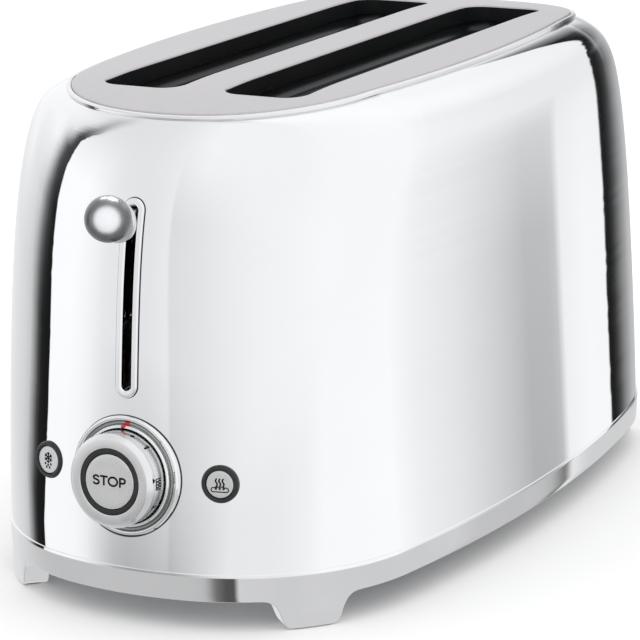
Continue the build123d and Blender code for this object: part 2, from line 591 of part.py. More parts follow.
# ----------------------------------------------------------------- release magnet
KEEP_Z = RACK_Z + 21.0
node("keeper", bx(CAR_X0 - 8.5, CAR_X0, -11, 11, KEEP_Z, KEEP_Z + 3))
MAG_Z1 = KEEP_Z - TRAVEL - 0.3
MX0, MX1 = CAR_X0 - 8.5, CAR_X0 - 1.0
core = bx(MX0, MX1, -11, -6.5, MAG_Z1 - 20, MAG_Z1) + bx(MX0, MX1, 6.5, 11, MAG_Z1 - 20, MAG_Z1) \
    + bx(MX0, MX1, -11, 11, MAG_Z1 - 20, MAG_Z1 - 16)
node("magnet_core", core)
coil = None
for s in (1, -1):
    c = bx(MX0 - 1.8, MX1 + 0.6, s * 8.75 - 4.2, s * 8.75 + 4.2, MAG_Z1 - 15.6, MAG_Z1 - 2.5) \
        - bx(MX0, MX1, min(s * 6.5, s * 11), max(s * 6.5, s * 11), 0, 200)
    coil = c if coil is None else coil + c
node("magnet_coils", coil)
node("magnet_bracket", bx(MX0, MX1, -6.0, 6.0, ROD_Z0, MAG_Z1 - 20) + bx(MX0, MX1, -12, 12, ROD_Z0, ROD_Z0 + 1.2))

# ----------------------------------------------------------------- controls
def dial(r, z0, z1):
    return DIAL * Pos(0, 0, (z0 + z1) / 2) * Cylinder(r, z1 - z0)


def lathe(plane, pts):
    # Turned part: closed (radius, height) profile about the plane's z axis.
    pl = Plane(origin=plane.origin, x_dir=plane.x_dir, z_dir=-plane.y_dir)
    with BuildSketch() as sk:
        with BuildLine():
            Polyline(*pts, close=True)
        make_face()
    return revolve(pl * sk.sketch, Axis(plane.origin, plane.z_dir))


bezel = lathe(DIAL, [(19.75, -3.4), (BEZEL_R, -3.4), (BEZEL_R, 1.5), (BEZEL_R - 0.5, 2.1), (BEZEL_R - 1.5, 2.1), (23.0, 1.0), (22.0, 0.7), (21.1, 1.0),
                     (20.9, 2.6), (20.4, 3.0), (19.75, 3.0)])
node("dial_bezel", bezel)
mark = DIAL * Pos(0, 22.9, 2.0) * Box(1.3, 3.2, 1.4)
mark = mark - bezel
node("dial_mark", mark)
knob = lathe(DIAL, [(0, 1.2), (18.9, 1.2), (19.0, 9.5), (KNOB_R, 10.6), (KNOB_R, 12.6), (KNOB_R - 1.3, KNOB_OUT), (0, KNOB_OUT)])
knob = knob - dial(RING_RO, 9.2, 20) - dial(3.05, 0, 20) - (dial(17.2, 0, 7.4) - dial(6.0, 0, 7.4))
node("dial_knob", knob)
node("stop_ring", dial(RING_RO, 9.2, KNOB_OUT - 0.3) - dial(RING_RI, 9.0, 20))
shaft = dial(3.0, -9.8, 8.8) - dial(2.2, -20, 20)
node("dial_shaft", shaft)
cap = dial(RING_RI - 0.3, 11.0, KNOB_OUT - 0.1)
cap = fillet(cap.edges().filter_by(GeomType.CIRCLE).sort_by(Axis(DIAL.origin, DIAL.z_dir))[-1], 0.5)
node("stop_button", cap + dial(1.9, -20.9, 11.0))
# potentiometer on the board, hollow for the stop button's stem
node("potentiometer", (dial(8.5, -18.6, -9.9) + dial(4.6, -9.9, -4.0)) - dial(3.1, -9.85, 0) - dial(2.2, -30, 0))
board = DIAL * Pos(0, -2, -19.4) * Box(96, 62, 1.6)
board = board - dial(2.4, -30, 0)
node("control_board", board)
chips = DIAL * Pos(26, -22, -18.0) * Box(12, 12, 1.2) + DIAL * Pos(-24, 20, -17.6) * Box(8, 5, 2.0) \
    + DIAL * Pos(28, 18, -16.6) * Box(14, 6, 4.0) + DIAL * Pos(-28, -22, -15.6) * Cylinder(3.5, 6.0)
node("board_components", chips)
switches = (DIAL * Pos(0, 0, -23.9) * Box(7, 7, 3.4) + dial(1.7, -22.3, -22.05)
     + DIAL * Pos(0, 0, -26.2) * Box(12, 12, 1.2) + DIAL * Pos(5.0, 0, -22.9) * Box(1.6, 10, 5.4)
     + DIAL * Pos(-5.0, 0, -22.9) * Box(1.6, 10, 5.4))

for s, nm in ((1, "defrost"), (-1, "reheat")):
    B = BTN[s]
    ring_b = lathe(B, [(5.95, -3.6), (BTN_R, -3.6), (BTN_R, 0.8), (BTN_R - 0.7, 1.6), (6.4, 1.6), (5.95, 1.2)])
    node(nm + "_ring", ring_b)
    capb = B * Pos(0, 0, -0.6) * Cylinder(5.65, 3.4)
    capb = fillet(capb.edges().filter_by(GeomType.CIRCLE).sort_by(Axis(B.origin, B.z_dir))[-1], 0.45)
    node(nm + "_button", capb + B * Pos(0, 0, -3.7) * Cylinder(1.8, 3.0))
    sw = B * Pos(0, 0, -8.6) * Box(6.2, 6.2, 3.4) + B * Pos(0, 0, -6.7) * Cylinder(1.6, 0.5)
    hold = (B * Pos(0, 0, -15.0) * Box(8.0, 8.0, 9.4)) - (DIAL * Pos(0, 0, -68.6) * Box(200, 200, 100))
    switches = switches + sw + hold
node("button_switches", switches)

# ----------------------------------------------------------------- rear end
node("power_board", bx(150.0, 151.6, -30, 46, 30, 104))
rear_bits = (bx(151.6, 166.6, -22, -2, 60, 84))
rear_bits += (bx(151.6, 169.0, 8, 34, 40, 66) + bx(151.6, 165.0, 12, 30, 36, 70))
node("power_components", rear_bits + cx(151.6, 165.6, -14, 44, 6.0))
node("board_brackets", bx(143.0, 151.0, -34.5, -30, 30, 100) + bx(142.0, 143.0, -34.5, -30, 30, 100)
     + bx(143.0, 151.0, 46, 50.5, 30, 100) + bx(142.0, 143.0, 46, 50.5, 30, 100))
node("terminal_block", bx(112.0, 132.0, -82, -70, FLOOR_Z, FLOOR_Z + 12))
gland = lathe(INLET, [(3.6, -9.0), (6.0, -9.0), (6.6, -1.25), (6.6, 0.1), (9.0, 0.1), (9.0, 2.2), (6.0, 5.0), (4.6, 5.4), (3.6, 5.4)])
gland = gland - (INLET * Pos(0, 0, 0) * Cylinder(3.6, 40))
node("cord_inlet", gland)
cs = None
for sx in (1, -1):
    for sy in (1, -1):
        x, y = sx * 136.5, sy * 63.75
        q = cz(x, y, FLOOR_Z + 1.0, FLOOR_Z + 2.8, 2.9) + cz(x, y, FLOOR_Z - 4.0, FLOOR_Z + 1.0, 1.5)
        cs = q if cs is None else cs + q
node("screws", base_screws + cs)

# ----------------------------------------------------------------- write the files
hi_x = max(v.bounding_box().max.X for v in (NODES["crumb_tray_handle"], NODES["base_skirt"]))
lo_x = NODES["lever_knob"].bounding_box().min.X
SHIFT_X = -(hi_x + lo_x) / 2
print("extent", lo_x, hi_x, "shift", SHIFT_X, "nodes", len(NODES))
for name, shape in NODES.items():
    export_step(Pos(SHIFT_X, 0, -SOLE) * shape, "parts/" + name + ".step")
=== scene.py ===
# Looks of a four-slice toaster with two long slots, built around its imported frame.
# Drawn in millimetres about the middle of the base; put() moves by SX and scales to metres.
import bpy
import bmesh
import math
import numpy as np
from mathutils import Matrix, Vector
from mathutils.geometry import delaunay_2d_cdt


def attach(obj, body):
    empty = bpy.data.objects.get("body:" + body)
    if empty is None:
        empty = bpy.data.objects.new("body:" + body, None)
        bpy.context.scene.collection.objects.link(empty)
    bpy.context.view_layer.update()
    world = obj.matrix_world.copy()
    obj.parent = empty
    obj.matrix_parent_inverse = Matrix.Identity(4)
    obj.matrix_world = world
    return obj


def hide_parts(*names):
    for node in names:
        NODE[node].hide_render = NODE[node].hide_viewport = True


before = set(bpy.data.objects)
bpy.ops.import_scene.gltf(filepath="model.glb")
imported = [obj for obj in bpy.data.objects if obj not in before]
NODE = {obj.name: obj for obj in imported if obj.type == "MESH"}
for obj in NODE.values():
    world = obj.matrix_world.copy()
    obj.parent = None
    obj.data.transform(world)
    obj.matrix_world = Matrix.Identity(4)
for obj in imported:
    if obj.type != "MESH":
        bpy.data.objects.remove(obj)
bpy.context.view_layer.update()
SX, SZ = 0.4, 1.9

# ------------------------------------------------------------------ sizes
BASE = (187.5, 102.6, 134.5, 682.5, 83.0)
SKIRT_BOT, SKIRT_TOP, SKIRT_IN, SKIRT_T, FLANGE, WALL_STEP = 10.9, 22.5, -0.4, 3.4, 10.5, 0.3
T_SHELL = 1.2
SOLE, PAD_H = -1.9, 0.5
FOOT_X = 160.0
TOP = (153.3, 73.4, 88.3, 678.5, 60.0)
TOP_Z, FLAT_X, DROP_R, T_TOP, RIM_H, RIM_OUT = 206.7, 85.0, 578.0, 1.5, 0.8, 2.3
END_LEAN, END_POW, SIDE_LEAN, SIDE_POW, END_DROP = 15.1, 6.6, 7.8, 38.0, 4.2
COR_C = 0.25
SLOT_Y0, SLOT_Y1, SLOT_X, SLOT_R, LIP = 10.1, 47.2, 120.0, 9.0, 8.0
DIAL_Z, TILT = 59.8, 0.0726
BTN_Y, BTN_YAW = 40.1, 0.247
SLOT_TOP, SLOT_BOT, TRIM_W, SLIT_W = 171.2, 91.8, 10.0, 5.6
BALL_R, BALL_Z, BALL_X = 9.4, 166.9, -190.8
Z0 = SKIRT_TOP
Z1 = TOP_Z - T_TOP - RIM_H
ZE = Z1 - END_DROP


# ------------------------------------------------------------------ the body wall as a formula
def wall_dims(z):
    w = (z - Z0) / (Z1 - Z0)
    we = (z - Z0) / (ZE - Z0)
    w = np.maximum(w, 0.0)
    we = np.maximum(we, 0.0)
    a0 = BASE[0] - SKIRT_IN - WALL_STEP
    b0 = BASE[1] - SKIRT_IN - WALL_STEP
    a1, b1 = TOP[0] + RIM_OUT, TOP[1] + RIM_OUT
    a = a0 - END_LEAN * we - (a0 - END_LEAN - a1) * we ** END_POW
    b = b0 - SIDE_LEAN * w - (b0 - SIDE_LEAN - b1) * w ** SIDE_POW
    f1, f2 = w ** 2.0, (1 + COR_C) * w / (w + COR_C)
    re = BASE[2] * (1 - f1) + (TOP[2] + RIM_OUT) * f1
    rs = BASE[3] * (1 - f1) + (TOP[3] + RIM_OUT) * f1
    rc = BASE[4] * (1 - f2) + (TOP[4] + RIM_OUT) * f2
    return a, b, re, rs, np.minimum(rc, re - 1.0)


def arcs(dims):
    # Centres and joints of the end, corner and side arcs in the first quarter.
    a, b, re, rs, rc = [np.asarray(v, float) for v in dims]
    c1x, c2y = a - re, b - rs
    r1, r2 = re - rc, rs - rc
    dx, dy = -c1x, c2y
    d = np.hypot(dx, dy)
    aa = (r1 * r1 - r2 * r2 + d * d) / (2 * d)
    h = np.sqrt(np.maximum(r1 * r1 - aa * aa, 0.0))
    mx, my = c1x + aa * dx / d, aa * dy / d
    px, py = -dy / d, dx / d
    s1 = (mx + h * px) + (my + h * py)
    s2 = (mx - h * px) + (my - h * py)
    k = np.where(s1 > s2, 1.0, -1.0)
    cx, cy = mx + k * h * px, my + k * h * py
    t1 = np.arctan2(cy, cx - c1x)
    t2 = np.arctan2(cy - c2y, cx)
    return c1x, c2y, cx, cy, t1, t2


def plan(dims, th):
    # Point of the outline whose normal points along th.
    a, b, re, rs, rc = dims
    c1x, c2y, cx, cy, t1, t2 = arcs(dims)
    ct, st = np.cos(th), np.sin(th)
    ac, as_ = np.abs(ct), np.abs(st)
    q = np.arctan2(as_, ac)
    x = np.where(q < t1, c1x + re * ac, np.where(q < t2, cx + rc * ac, rs * ac))
    y = np.where(q < t1, re * as_, np.where(q < t2, cy + rc * as_, c2y + rs * as_))
    return np.sign(ct) * x, np.sign(st) * y


def drop(x):
    u = np.clip((np.abs(x) - FLAT_X) / DROP_R, 0, 1)
    return DROP_R * (1 - np.sqrt(1 - u * u))


def share_dims(w):
    # Plan of the body at a share w of each column's height.
    w = np.maximum(w, 0.0)
    a0 = BASE[0] - SKIRT_IN - WALL_STEP
    b0 = BASE[1] - SKIRT_IN - WALL_STEP
    a1, b1 = TOP[0] + RIM_OUT, TOP[1] + RIM_OUT
    a = a0 - END_LEAN * w - (a0 - END_LEAN - a1) * w ** END_POW
    b = b0 - SIDE_LEAN * w - (b0 - SIDE_LEAN - b1) * w ** SIDE_POW
    f1, f2 = w ** 2.0, 1 - (1 - np.minimum(w, 1.0)) ** 2.6
    re = BASE[2] * (1 - f1) + (TOP[2] + RIM_OUT) * f1
    rs = BASE[3] * (1 - f1) + (TOP[3] + RIM_OUT) * f1
    rc = BASE[4] * (1 - f2) + (TOP[4] + RIM_OUT) * f2
    return a, b, re, rs, np.minimum(rc, re - 1.0)


def top_of(th):
    x, _y = plan(tuple(v + RIM_OUT for v in TOP), th)
    return Z1 - drop(x)


def soft_quarter(dims, th, blur):
    # First-quarter outline with its changes of curvature spread over about 2 * blur of length.
    a, b, re, rs, rc = [float(v) for v in dims]
    c1x, c2y, cx, cy, t1, t2 = [float(v) for v in arcs(dims)]
    l1, l2, l3 = re * t1, rc * (t2 - t1), rs * (math.pi / 2 - t2)
    L = l1 + l2 + l3
    n = 1600
    s = (np.arange(n) + 0.5) / n * L
    k = np.where(s < l1, 1 / re, np.where(s < l1 + l2, 1 / rc, 1 / rs))
    h = int(blur / L * n)
    ker = np.hanning(2 * h + 3)
    ker /= ker.sum()
    kk = np.concatenate([k[:h + 1][::-1], k, k[-h - 1:][::-1]])
    k = np.convolve(kk, ker, "valid")
    ds = L / n
    ang = np.concatenate([[0], np.cumsum(k) * ds])
    ang *= (math.pi / 2) / ang[-1]
    mid = 0.5 * (ang[1:] + ang[:-1])
    x = np.concatenate([[0], np.cumsum(-np.sin(mid)) * ds])
    y = np.concatenate([[0], np.cumsum(np.cos(mid)) * ds])
    x = x - x[-1]
    return np.interp(th, ang, x * (a / x[0])), np.interp(th, ang, y * (b / y[-1]))


def wall_table():
    NW, NT = 360, 700
    u = np.linspace(0, 1, NW)
    wg = 1 - (1 - u) ** 1.8
    d0 = share_dims(np.array(0.4))
    c1x, c2y, cx, cy, t1, t2 = [float(v) for v in arcs(d0)]
    re, rs, rc = float(d0[2]), float(d0[3]), float(d0[4])
    l = [0, re * t1, re * t1 + rc * (t2 - t1), re * t1 + rc * (t2 - t1) + rs * (math.pi / 2 - t2)]
    tg = np.interp(np.linspace(0, l[3], NT), l, [0, t1, t2, math.pi / 2])
    P = np.zeros((NW, NT, 3))
    H = top_of(tg) - Z0
    for i, w in enumerate(wg):
        x, y = soft_quarter(share_dims(np.array(w)), tg, 24.0)
        P[i, :, 0], P[i, :, 1], P[i, :, 2] = x, y, Z0 + w * H
    dw = np.gradient(P, wg, axis=0)
    dt = np.gradient(P, tg, axis=1)
    # symmetry planes: no change of height or of the other side's coordinate across them
    dt[:, 0, 0] = 0.0
    dt[:, 0, 2] = 0.0
    dt[:, -1, 1] = 0.0
    dt[:, -1, 2] = 0.0
    dw[:, 0, 1] = 0.0
    dw[:, -1, 0] = 0.0
    N = np.cross(dt, dw)
    N /= np.linalg.norm(N, axis=-1, keepdims=True)
    N[N[..., 0] * np.cos(tg) + N[..., 1] * np.sin(tg) < 0] *= -1
    return wg, tg, P, N


WG, TG, TP, TN = wall_table()


def wall(th, w):
    # Wall point and normal at normal angle th and height share w.
    th, w = np.broadcast_arrays(np.asarray(th, float), np.asarray(w, float))
    ct, st = np.cos(th), np.sin(th)
    q = np.arctan2(np.abs(st), np.abs(ct))
    fi = np.interp(w, WG, np.arange(len(WG)))
    fj = np.interp(q, TG, np.arange(len(TG)))
    i0 = np.minimum(fi.astype(int), len(WG) - 2)
    j0 = np.minimum(fj.astype(int), len(TG) - 2)
    u, v = (fi - i0)[..., None], (fj - j0)[..., None]
    sg = np.stack([np.where(ct < 0, -1.0, 1.0), np.where(st < 0, -1.0, 1.0), np.ones_like(ct)], -1)
    out = []
    for T in (TP, TN):
        r = T[i0, j0] * (1 - u) * (1 - v) + T[i0 + 1, j0] * u * (1 - v) + T[i0, j0 + 1] * (1 - u) * v + T[i0 + 1, j0 + 1] * u * v
        out.append(r * sg)
    n = out[1] / np.linalg.norm(out[1], axis=-1, keepdims=True)
    return out[0], n


def end_wall(y, z, sx):
    # Wall point at (y, z) on the end at sx, with its normal.
    y, z = np.asarray(y, float), np.asarray(z, float)
    ay = np.abs(y)
    lo, hi = np.zeros_like(ay), np.full_like(ay, 1.35)
    for _ in range(44):
        q = 0.5 * (lo + hi)
        w = (z - Z0) / (top_of(q) - Z0)
        p, _n = wall(q, w)
        big = p[..., 1] > ay
        hi = np.where(big, q, hi)
        lo = np.where(big, lo, q)
    q = 0.5 * (lo + hi)
    w = (z - Z0) / (top_of(q) - Z0)
    sy = np.where(y < 0, -1.0, 1.0)
    p, n = wall(np.arctan2(sy * np.sin(q), sx * np.cos(q)), w)
    p[..., 1], p[..., 2] = y, z
    return p, n


# ------------------------------------------------------------------ mesh helpers
def put(v):
    v = np.array(v, float).reshape(-1, 3)
    v[:, 0] += SX
    v[:, 2] += SZ
    return v * 0.001


def make(name, verts, faces, mats, body="housing", slot=None, nodes=(), vnorm=None, kinds=None, fmat=None,
         sharp=35.0, recalc=False):
    me = bpy.data.meshes.new(name)
    me.from_pydata(put(verts).tolist(), [], [tuple(int(i) for i in f) for f in faces])
    if recalc:
        bm = bmesh.new()
        bm.from_mesh(me)
        bmesh.ops.recalc_face_normals(bm, faces=bm.faces)
        bm.to_mesh(me)
        bm.free()
    mats = mats if isinstance(mats, (list, tuple)) else [mats]
    for m in mats:
        me.materials.append(m)
    me.polygons.foreach_set("use_smooth", [True] * len(me.polygons))
    if fmat is not None:
        me.polygons.foreach_set("material_index", [int(i) for i in fmat])
    me.update()
    if vnorm is not None:
        vn = np.asarray(vnorm, float)
        out = []
        for p, f in enumerate(faces):
            if kinds is not None and kinds[p] == 1:
                n = me.polygons[p].normal
                out += [(n.x, n.y, n.z)] * len(f)
            else:
                out += [tuple(vn[i]) for i in f]
        me.normals_split_custom_set(out)
    elif sharp is not None:
        me.set_sharp_from_angle(angle=math.radians(sharp))
    ob = bpy.data.objects.new(name, me)
    bpy.context.scene.collection.objects.link(ob)
    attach(ob, body)
    if nodes:
        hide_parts(*nodes)
    return ob


def inside_poly(px, py, poly):
    poly = np.asarray(poly, float)
    r = np.zeros(len(px), bool)
    x1, y1 = poly[:, 0], poly[:, 1]
    x2, y2 = np.roll(x1, -1), np.roll(y1, -1)
    for a, b, c, d in zip(x1, y1, x2, y2):
        if b == d:
            continue
        cr = ((b > py) != (d > py)) & (px < (c - a) * (py - b) / (d - b) + a)
        r ^= cr
    return r


def poly_dist(px, py, poly):
    poly = np.asarray(poly, float)
    nxt = np.roll(poly, -1, 0)
    best = np.full(len(px), 1e9)
    for (a, b), (c, d) in zip(poly, nxt):
        ex, ey = c - a, d - b
        l2 = max(ex * ex + ey * ey, 1e-12)
        t = np.clip(((px - a) * ex + (py - b) * ey) / l2, 0, 1)
        best = np.minimum(best, np.hypot(px - a - t * ex, py - b - t * ey))
    return best


def fill(outer, holes, inner=(), keep=1.0):
    # Triangulation of a flat region; inner points nearer than keep to an edge are left out.
    # Returns the points, in the order outer, holes, inner, and the triangles.
    loops = [np.asarray(outer, float)] + [np.asarray(h, float) for h in holes]
    pts = np.concatenate(loops)
    if len(inner):
        q = np.asarray(inner, float)
        ok = inside_poly(q[:, 0], q[:, 1], loops[0])
        for h in loops[1:]:
            ok &= ~inside_poly(q[:, 0], q[:, 1], h)
        for h in loops:
            ok &= poly_dist(q[:, 0], q[:, 1], h) > keep
        pts = np.concatenate([pts, q[ok]])
    edges, o = [], 0
    for h in loops:
        n = len(h)
        edges += [(o + i, o + (i + 1) % n) for i in range(n)]
        o += n
    vo, _, fo, ov, _, _ = delaunay_2d_cdt([Vector(p) for p in pts.tolist()], edges, [], 0, 1e-6, True)
    back = [(v[0] if v else None) for v in ov]
    fo = [f for f in fo if all(back[i] is not None for i in f)]
    tri = np.array([[back[i] for i in f] for f in fo], int)
    c = pts[tri].mean(1)
    ok = inside_poly(c[:, 0], c[:, 1], loops[0])
    for h in loops[1:]:
        ok &= ~inside_poly(c[:, 0], c[:, 1], h)
    tri = tri[ok]
    a, b, c = pts[tri[:, 0]], pts[tri[:, 1]], pts[tri[:, 2]]
    area = (b[:, 0] - a[:, 0]) * (c[:, 1] - a[:, 1]) - (b[:, 1] - a[:, 1]) * (c[:, 0] - a[:, 0])
    tri[area < 0] = tri[area < 0][:, ::-1]
    return pts, tri


def round_poly(pts, rad, seg=5):
    # Closed polygon with its corners rounded.
    n = len(pts)
    rad = [rad] * n if np.isscalar(rad) else list(rad)
    out = []
    for i in range(n):
        p0, p, p1 = np.array(pts[i - 1], float), np.array(pts[i], float), np.array(pts[(i + 1) % n], float)
        r = rad[i]
        u, v = p0 - p, p1 - p
        lu, lv = np.linalg.norm(u), np.linalg.norm(v)
        if r <= 0 or lu < 1e-9 or lv < 1e-9:
            out.append(tuple(p))
            continue
        u, v = u / lu, v / lv
        ang = math.acos(max(-1, min(1, float(u @ v))))
        if ang > math.radians(178):
            out.append(tuple(p))
            continue
        t = min(r / math.tan(ang / 2), lu * 0.49, lv * 0.49)
        rr = t * math.tan(ang / 2)
        bis = (u + v) / np.linalg.norm(u + v)
        c = p + bis * (rr / math.sin(ang / 2))
        a, b = p + u * t - c, p + v * t - c
        a0, a1 = math.atan2(a[1], a[0]), math.atan2(b[1], b[0])
        da = (a1 - a0 + math.pi) % (2 * math.pi) - math.pi
        for k in range(seg + 1):
            w = a0 + da * k / seg
            out.append((c[0] + rr * math.cos(w), c[1] + rr * math.sin(w)))
    return out


def loops_mesh(rings, closed=True, cap0=False, cap1=False, wrap=False):
    # Quads between equal rings of points; wrap joins the last ring to the first.
    n = len(rings[0])
    v = np.concatenate([np.asarray(r, float) for r in rings])
    f = []
    m = len(rings)
    for k in range(m if wrap else m - 1):
        o, p = k * n, ((k + 1) % m) * n
        for i in range(n if closed else n - 1):
            j = (i + 1) % n
            f.append((o + i, o + j, p + j, p + i))
    if cap0:
        f.append(tuple(range(n))[::-1])
    if cap1:
        f.append(tuple((m - 1) * n + i for i in range(n)))
    return v, f


class Axes:
    # Local frame: X right, Y up, N out.
    def __init__(self, o, x, n):
        self.o = np.array(o, float)
        self.n = np.array(n, float) / np.linalg.norm(n)
        x = np.array(x, float)
        x -= self.n * (x @ self.n)
        self.x = x / np.linalg.norm(x)
        self.y = np.cross(self.n, self.x)

    def at(self, x, y, h):
        x, y, h = np.broadcast_arrays(np.asarray(x, float), np.asarray(y, float), np.asarray(h, float))
        return self.o + x[..., None] * self.x + y[..., None] * self.y + h[..., None] * self.n


def lathe(name, ax, prof, mats, n=160, **kw):
    # Turned part from a closed (radius, height) profile, or an open one that ends on the axis.
    prof = list(prof)
    open_ = prof[0][0] < 1e-6 and prof[-1][0] < 1e-6
    t = np.linspace(0, 2 * math.pi, n, endpoint=False)
    body = prof[1:-1] if open_ else prof
    rings = [ax.at(r * np.cos(t), r * np.sin(t), h) for r, h in body]
    v, f = loops_mesh(rings, True, wrap=not open_)
    if open_:
        m = len(body)
        a, b = len(v), len(v) + 1
        v = np.concatenate([v, ax.at(0, 0, prof[0][1])[None], ax.at(0, 0, prof[-1][1])[None]])
        for i in range(n):
            j = (i + 1) % n
            f.append((a, j, i))
            f.append((b, (m - 1) * n + i, (m - 1) * n + j))
    return make(name, v, f, mats, recalc=True, **kw)


def wall_axes(y, z, yaw, tilt, x):
    n = (-math.cos(yaw) * math.cos(tilt), math.sin(yaw) * math.cos(tilt), math.sin(tilt))
    return Axes((x, y, z), (-math.sin(yaw), -math.cos(yaw), 0), n)


def end_x(y, z):
    # x of the construction's end wall, from which the controls are placed
    d = wall_dims(np.array(float(z)))
    c1x, c2y, cx, cy, t1, t2 = [float(v) for v in arcs(d)]
    y = abs(y)
    if y <= float(d[2]) * math.sin(t1):
        return c1x + math.sqrt(float(d[2]) ** 2 - y * y)
    return cx + math.sqrt(float(d[4]) ** 2 - (y - cy) ** 2)


DIAL = wall_axes(0, DIAL_Z, 0, TILT, -(end_x(0, DIAL_Z) - 1.2))
BTN = {s: wall_axes(s * BTN_Y, DIAL_Z, s * BTN_YAW, TILT, -(end_x(BTN_Y, DIAL_Z) - 0.4)) for s in (1, -1)}
IY, IZ, IYAW, ITILT = -52.0, 40.0, 0.479, 0.069
INLET = Axes((end_x(IY, IZ), IY, IZ), (math.sin(IYAW), math.cos(IYAW), 0),
             (math.cos(IYAW) * math.cos(ITILT), -math.sin(IYAW) * math.cos(ITILT), math.sin(ITILT)))


# ------------------------------------------------------------------ materials
class Tree:
    def __init__(self, tree):
        self.t = tree
        self.t.nodes.clear()

    def node(self, kind, **props):
        n = self.t.nodes.new(kind)
        for k, v in props.items():
            setattr(n, k, v)
        return n

    def link(self, a, b):
        self.t.links.new(a, b)

    def feed(self, sock, v):
        if isinstance(v, (int, float)):
            sock.default_value = v
        elif isinstance(v, (tuple, list)):
            sock.default_value = tuple(v) + (1.0,) * (len(sock.default_value) - len(v))
        else:
            self.link(v, sock)

    def math(self, op, a, b=None, clamp=False):
        n = self.node("ShaderNodeMath", operation=op, use_clamp=clamp)
        self.feed(n.inputs[0], a)
        if b is not None:
            self.feed(n.inputs[1], b)
        return n.outputs[0]

    def ramp(self, x, pts):
        # Straight-line curve through (x, y) points, y from 0 to 1.
        x0, x1 = pts[0][0], pts[-1][0]
        r = self.node("ShaderNodeMapRange", clamp=True)
        self.feed(r.inputs[0], x)
        r.inputs[1].default_value = x0
        r.inputs[2].default_value = x1
        c = self.node("ShaderNodeValToRGB")
        c.color_ramp.interpolation = "LINEAR"
        el = c.color_ramp.elements
        while len(el) > 1:
            el.remove(el[-1])
        for i, (px, py) in enumerate(pts):
            p = (px - x0) / (x1 - x0)
            e = el[0] if i == 0 else el.new(p)
            e.position = p
            e.color = (py, py, py, 1)
        self.link(r.outputs[0], c.inputs[0])
        b = self.node("ShaderNodeRGBToBW")
        self.link(c.outputs[0], b.inputs[0])
        return b.outputs[0]

    def mix(self, f, a, b):
        n = self.node("ShaderNodeMix", data_type="FLOAT")
        self.feed(n.inputs[0], f)
        self.feed(n.inputs[2], a)
        self.feed(n.inputs[3], b)
        return n.outputs[0]

    def mixc(self, f, a, b):
        n = self.node("ShaderNodeMix", data_type="RGBA")
        self.feed(n.inputs[0], f)
        self.feed(n.inputs[6], a)
        self.feed(n.inputs[7], b)
        return n.outputs[2]

    def coords(self, scale=(1, 1, 1), rot=(0, 0, 0)):
        tc = self.node("ShaderNodeTexCoord")
        mp = self.node("ShaderNodeMapping")
        mp.inputs["Scale"].default_value = scale
        mp.inputs["Rotation"].default_value = rot
        self.link(tc.outputs["Object"], mp.inputs[0])
        return mp.outputs[0]

    def noise(self, vec, scale, detail=3.0, rough=0.5):
        n = self.node("ShaderNodeTexNoise")
        n.inputs["Scale"].default_value = scale
        n.inputs["Detail"].default_value = detail
        n.inputs["Roughness"].default_value = rough
        self.link(vec, n.inputs["Vector"])
        return n.outputs[0]

    def span(self, x, lo, hi, a=0.35, b=0.65):
        n = self.node("ShaderNodeMapRange", clamp=True)
        self.feed(n.inputs[0], x)
        n.inputs[1].default_value = a
        n.inputs[2].default_value = b
        n.inputs[3].default_value = lo
        n.inputs[4].default_value = hi
        return n.outputs[0]


def material(name, base, metallic=0.0, rough=(0.3, 0.36), scale=60.0, vary=0.04, bump=None, stretch=(1, 1, 1),
             grain=None, coat=None, spec=None, aniso=None, tint=None, detail=3.0):
    # base colour that drifts a little, roughness that drifts with it, and a fine bump.
    # bump = (scale, strength, distance in mm); grain = (stretch, scale, colour share, roughness share)
    m = bpy.data.materials.new(name)
    m.use_nodes = True
    t = Tree(m.node_tree)
    out = t.node("ShaderNodeOutputMaterial")
    p = t.node("ShaderNodeBsdfPrincipled")
    t.link(p.outputs[0], out.inputs[0])
    p.inputs["Metallic"].default_value = metallic
    if spec is not None:
        p.inputs["Specular IOR Level"].default_value = spec
    if coat:
        p.inputs["Coat Weight"].default_value = coat[0]
        p.inputs["Coat Roughness"].default_value = coat[1]
    if aniso:
        p.inputs["Anisotropic"].default_value = aniso
    vec = t.coords(stretch)
    nz = t.noise(vec, scale, detail)
    lo = tuple(max(c * (1 - vary), 0) for c in base)
    hi = tuple(min(c * (1 + vary), 1) for c in (tint or base))
    col = t.mixc(t.span(nz, 0, 1), lo, hi)
    ro = t.span(nz, rough[0], rough[1])
    if grain:
        gv = t.coords(grain[0])
        gn = t.noise(gv, grain[1], 2.0, 0.6)
        dk = t.span(gn, 1 - grain[2], 1 + grain[2], 0.3, 0.7)
        vm = t.node("ShaderNodeVectorMath", operation="SCALE")
        t.link(col, vm.inputs[0])
        t.link(dk, vm.inputs["Scale"])
        col = vm.outputs[0]
        ro = t.math("ADD", ro, t.span(gn, -grain[3], grain[3], 0.3, 0.7))
    t.link(col, p.inputs["Base Color"])
    t.link(ro, p.inputs["Roughness"])
    if bump:
        bn = t.noise(t.coords(bump[3] if len(bump) > 3 else (1, 1, 1)), bump[0], 2.0)
        b = t.node("ShaderNodeBump")
        b.inputs["Strength"].default_value = bump[1]
        b.inputs["Distance"].default_value = bump[2] * 0.001
        t.link(bn, b.inputs["Height"])
        t.link(b.outputs[0], p.inputs["Normal"])
    return m


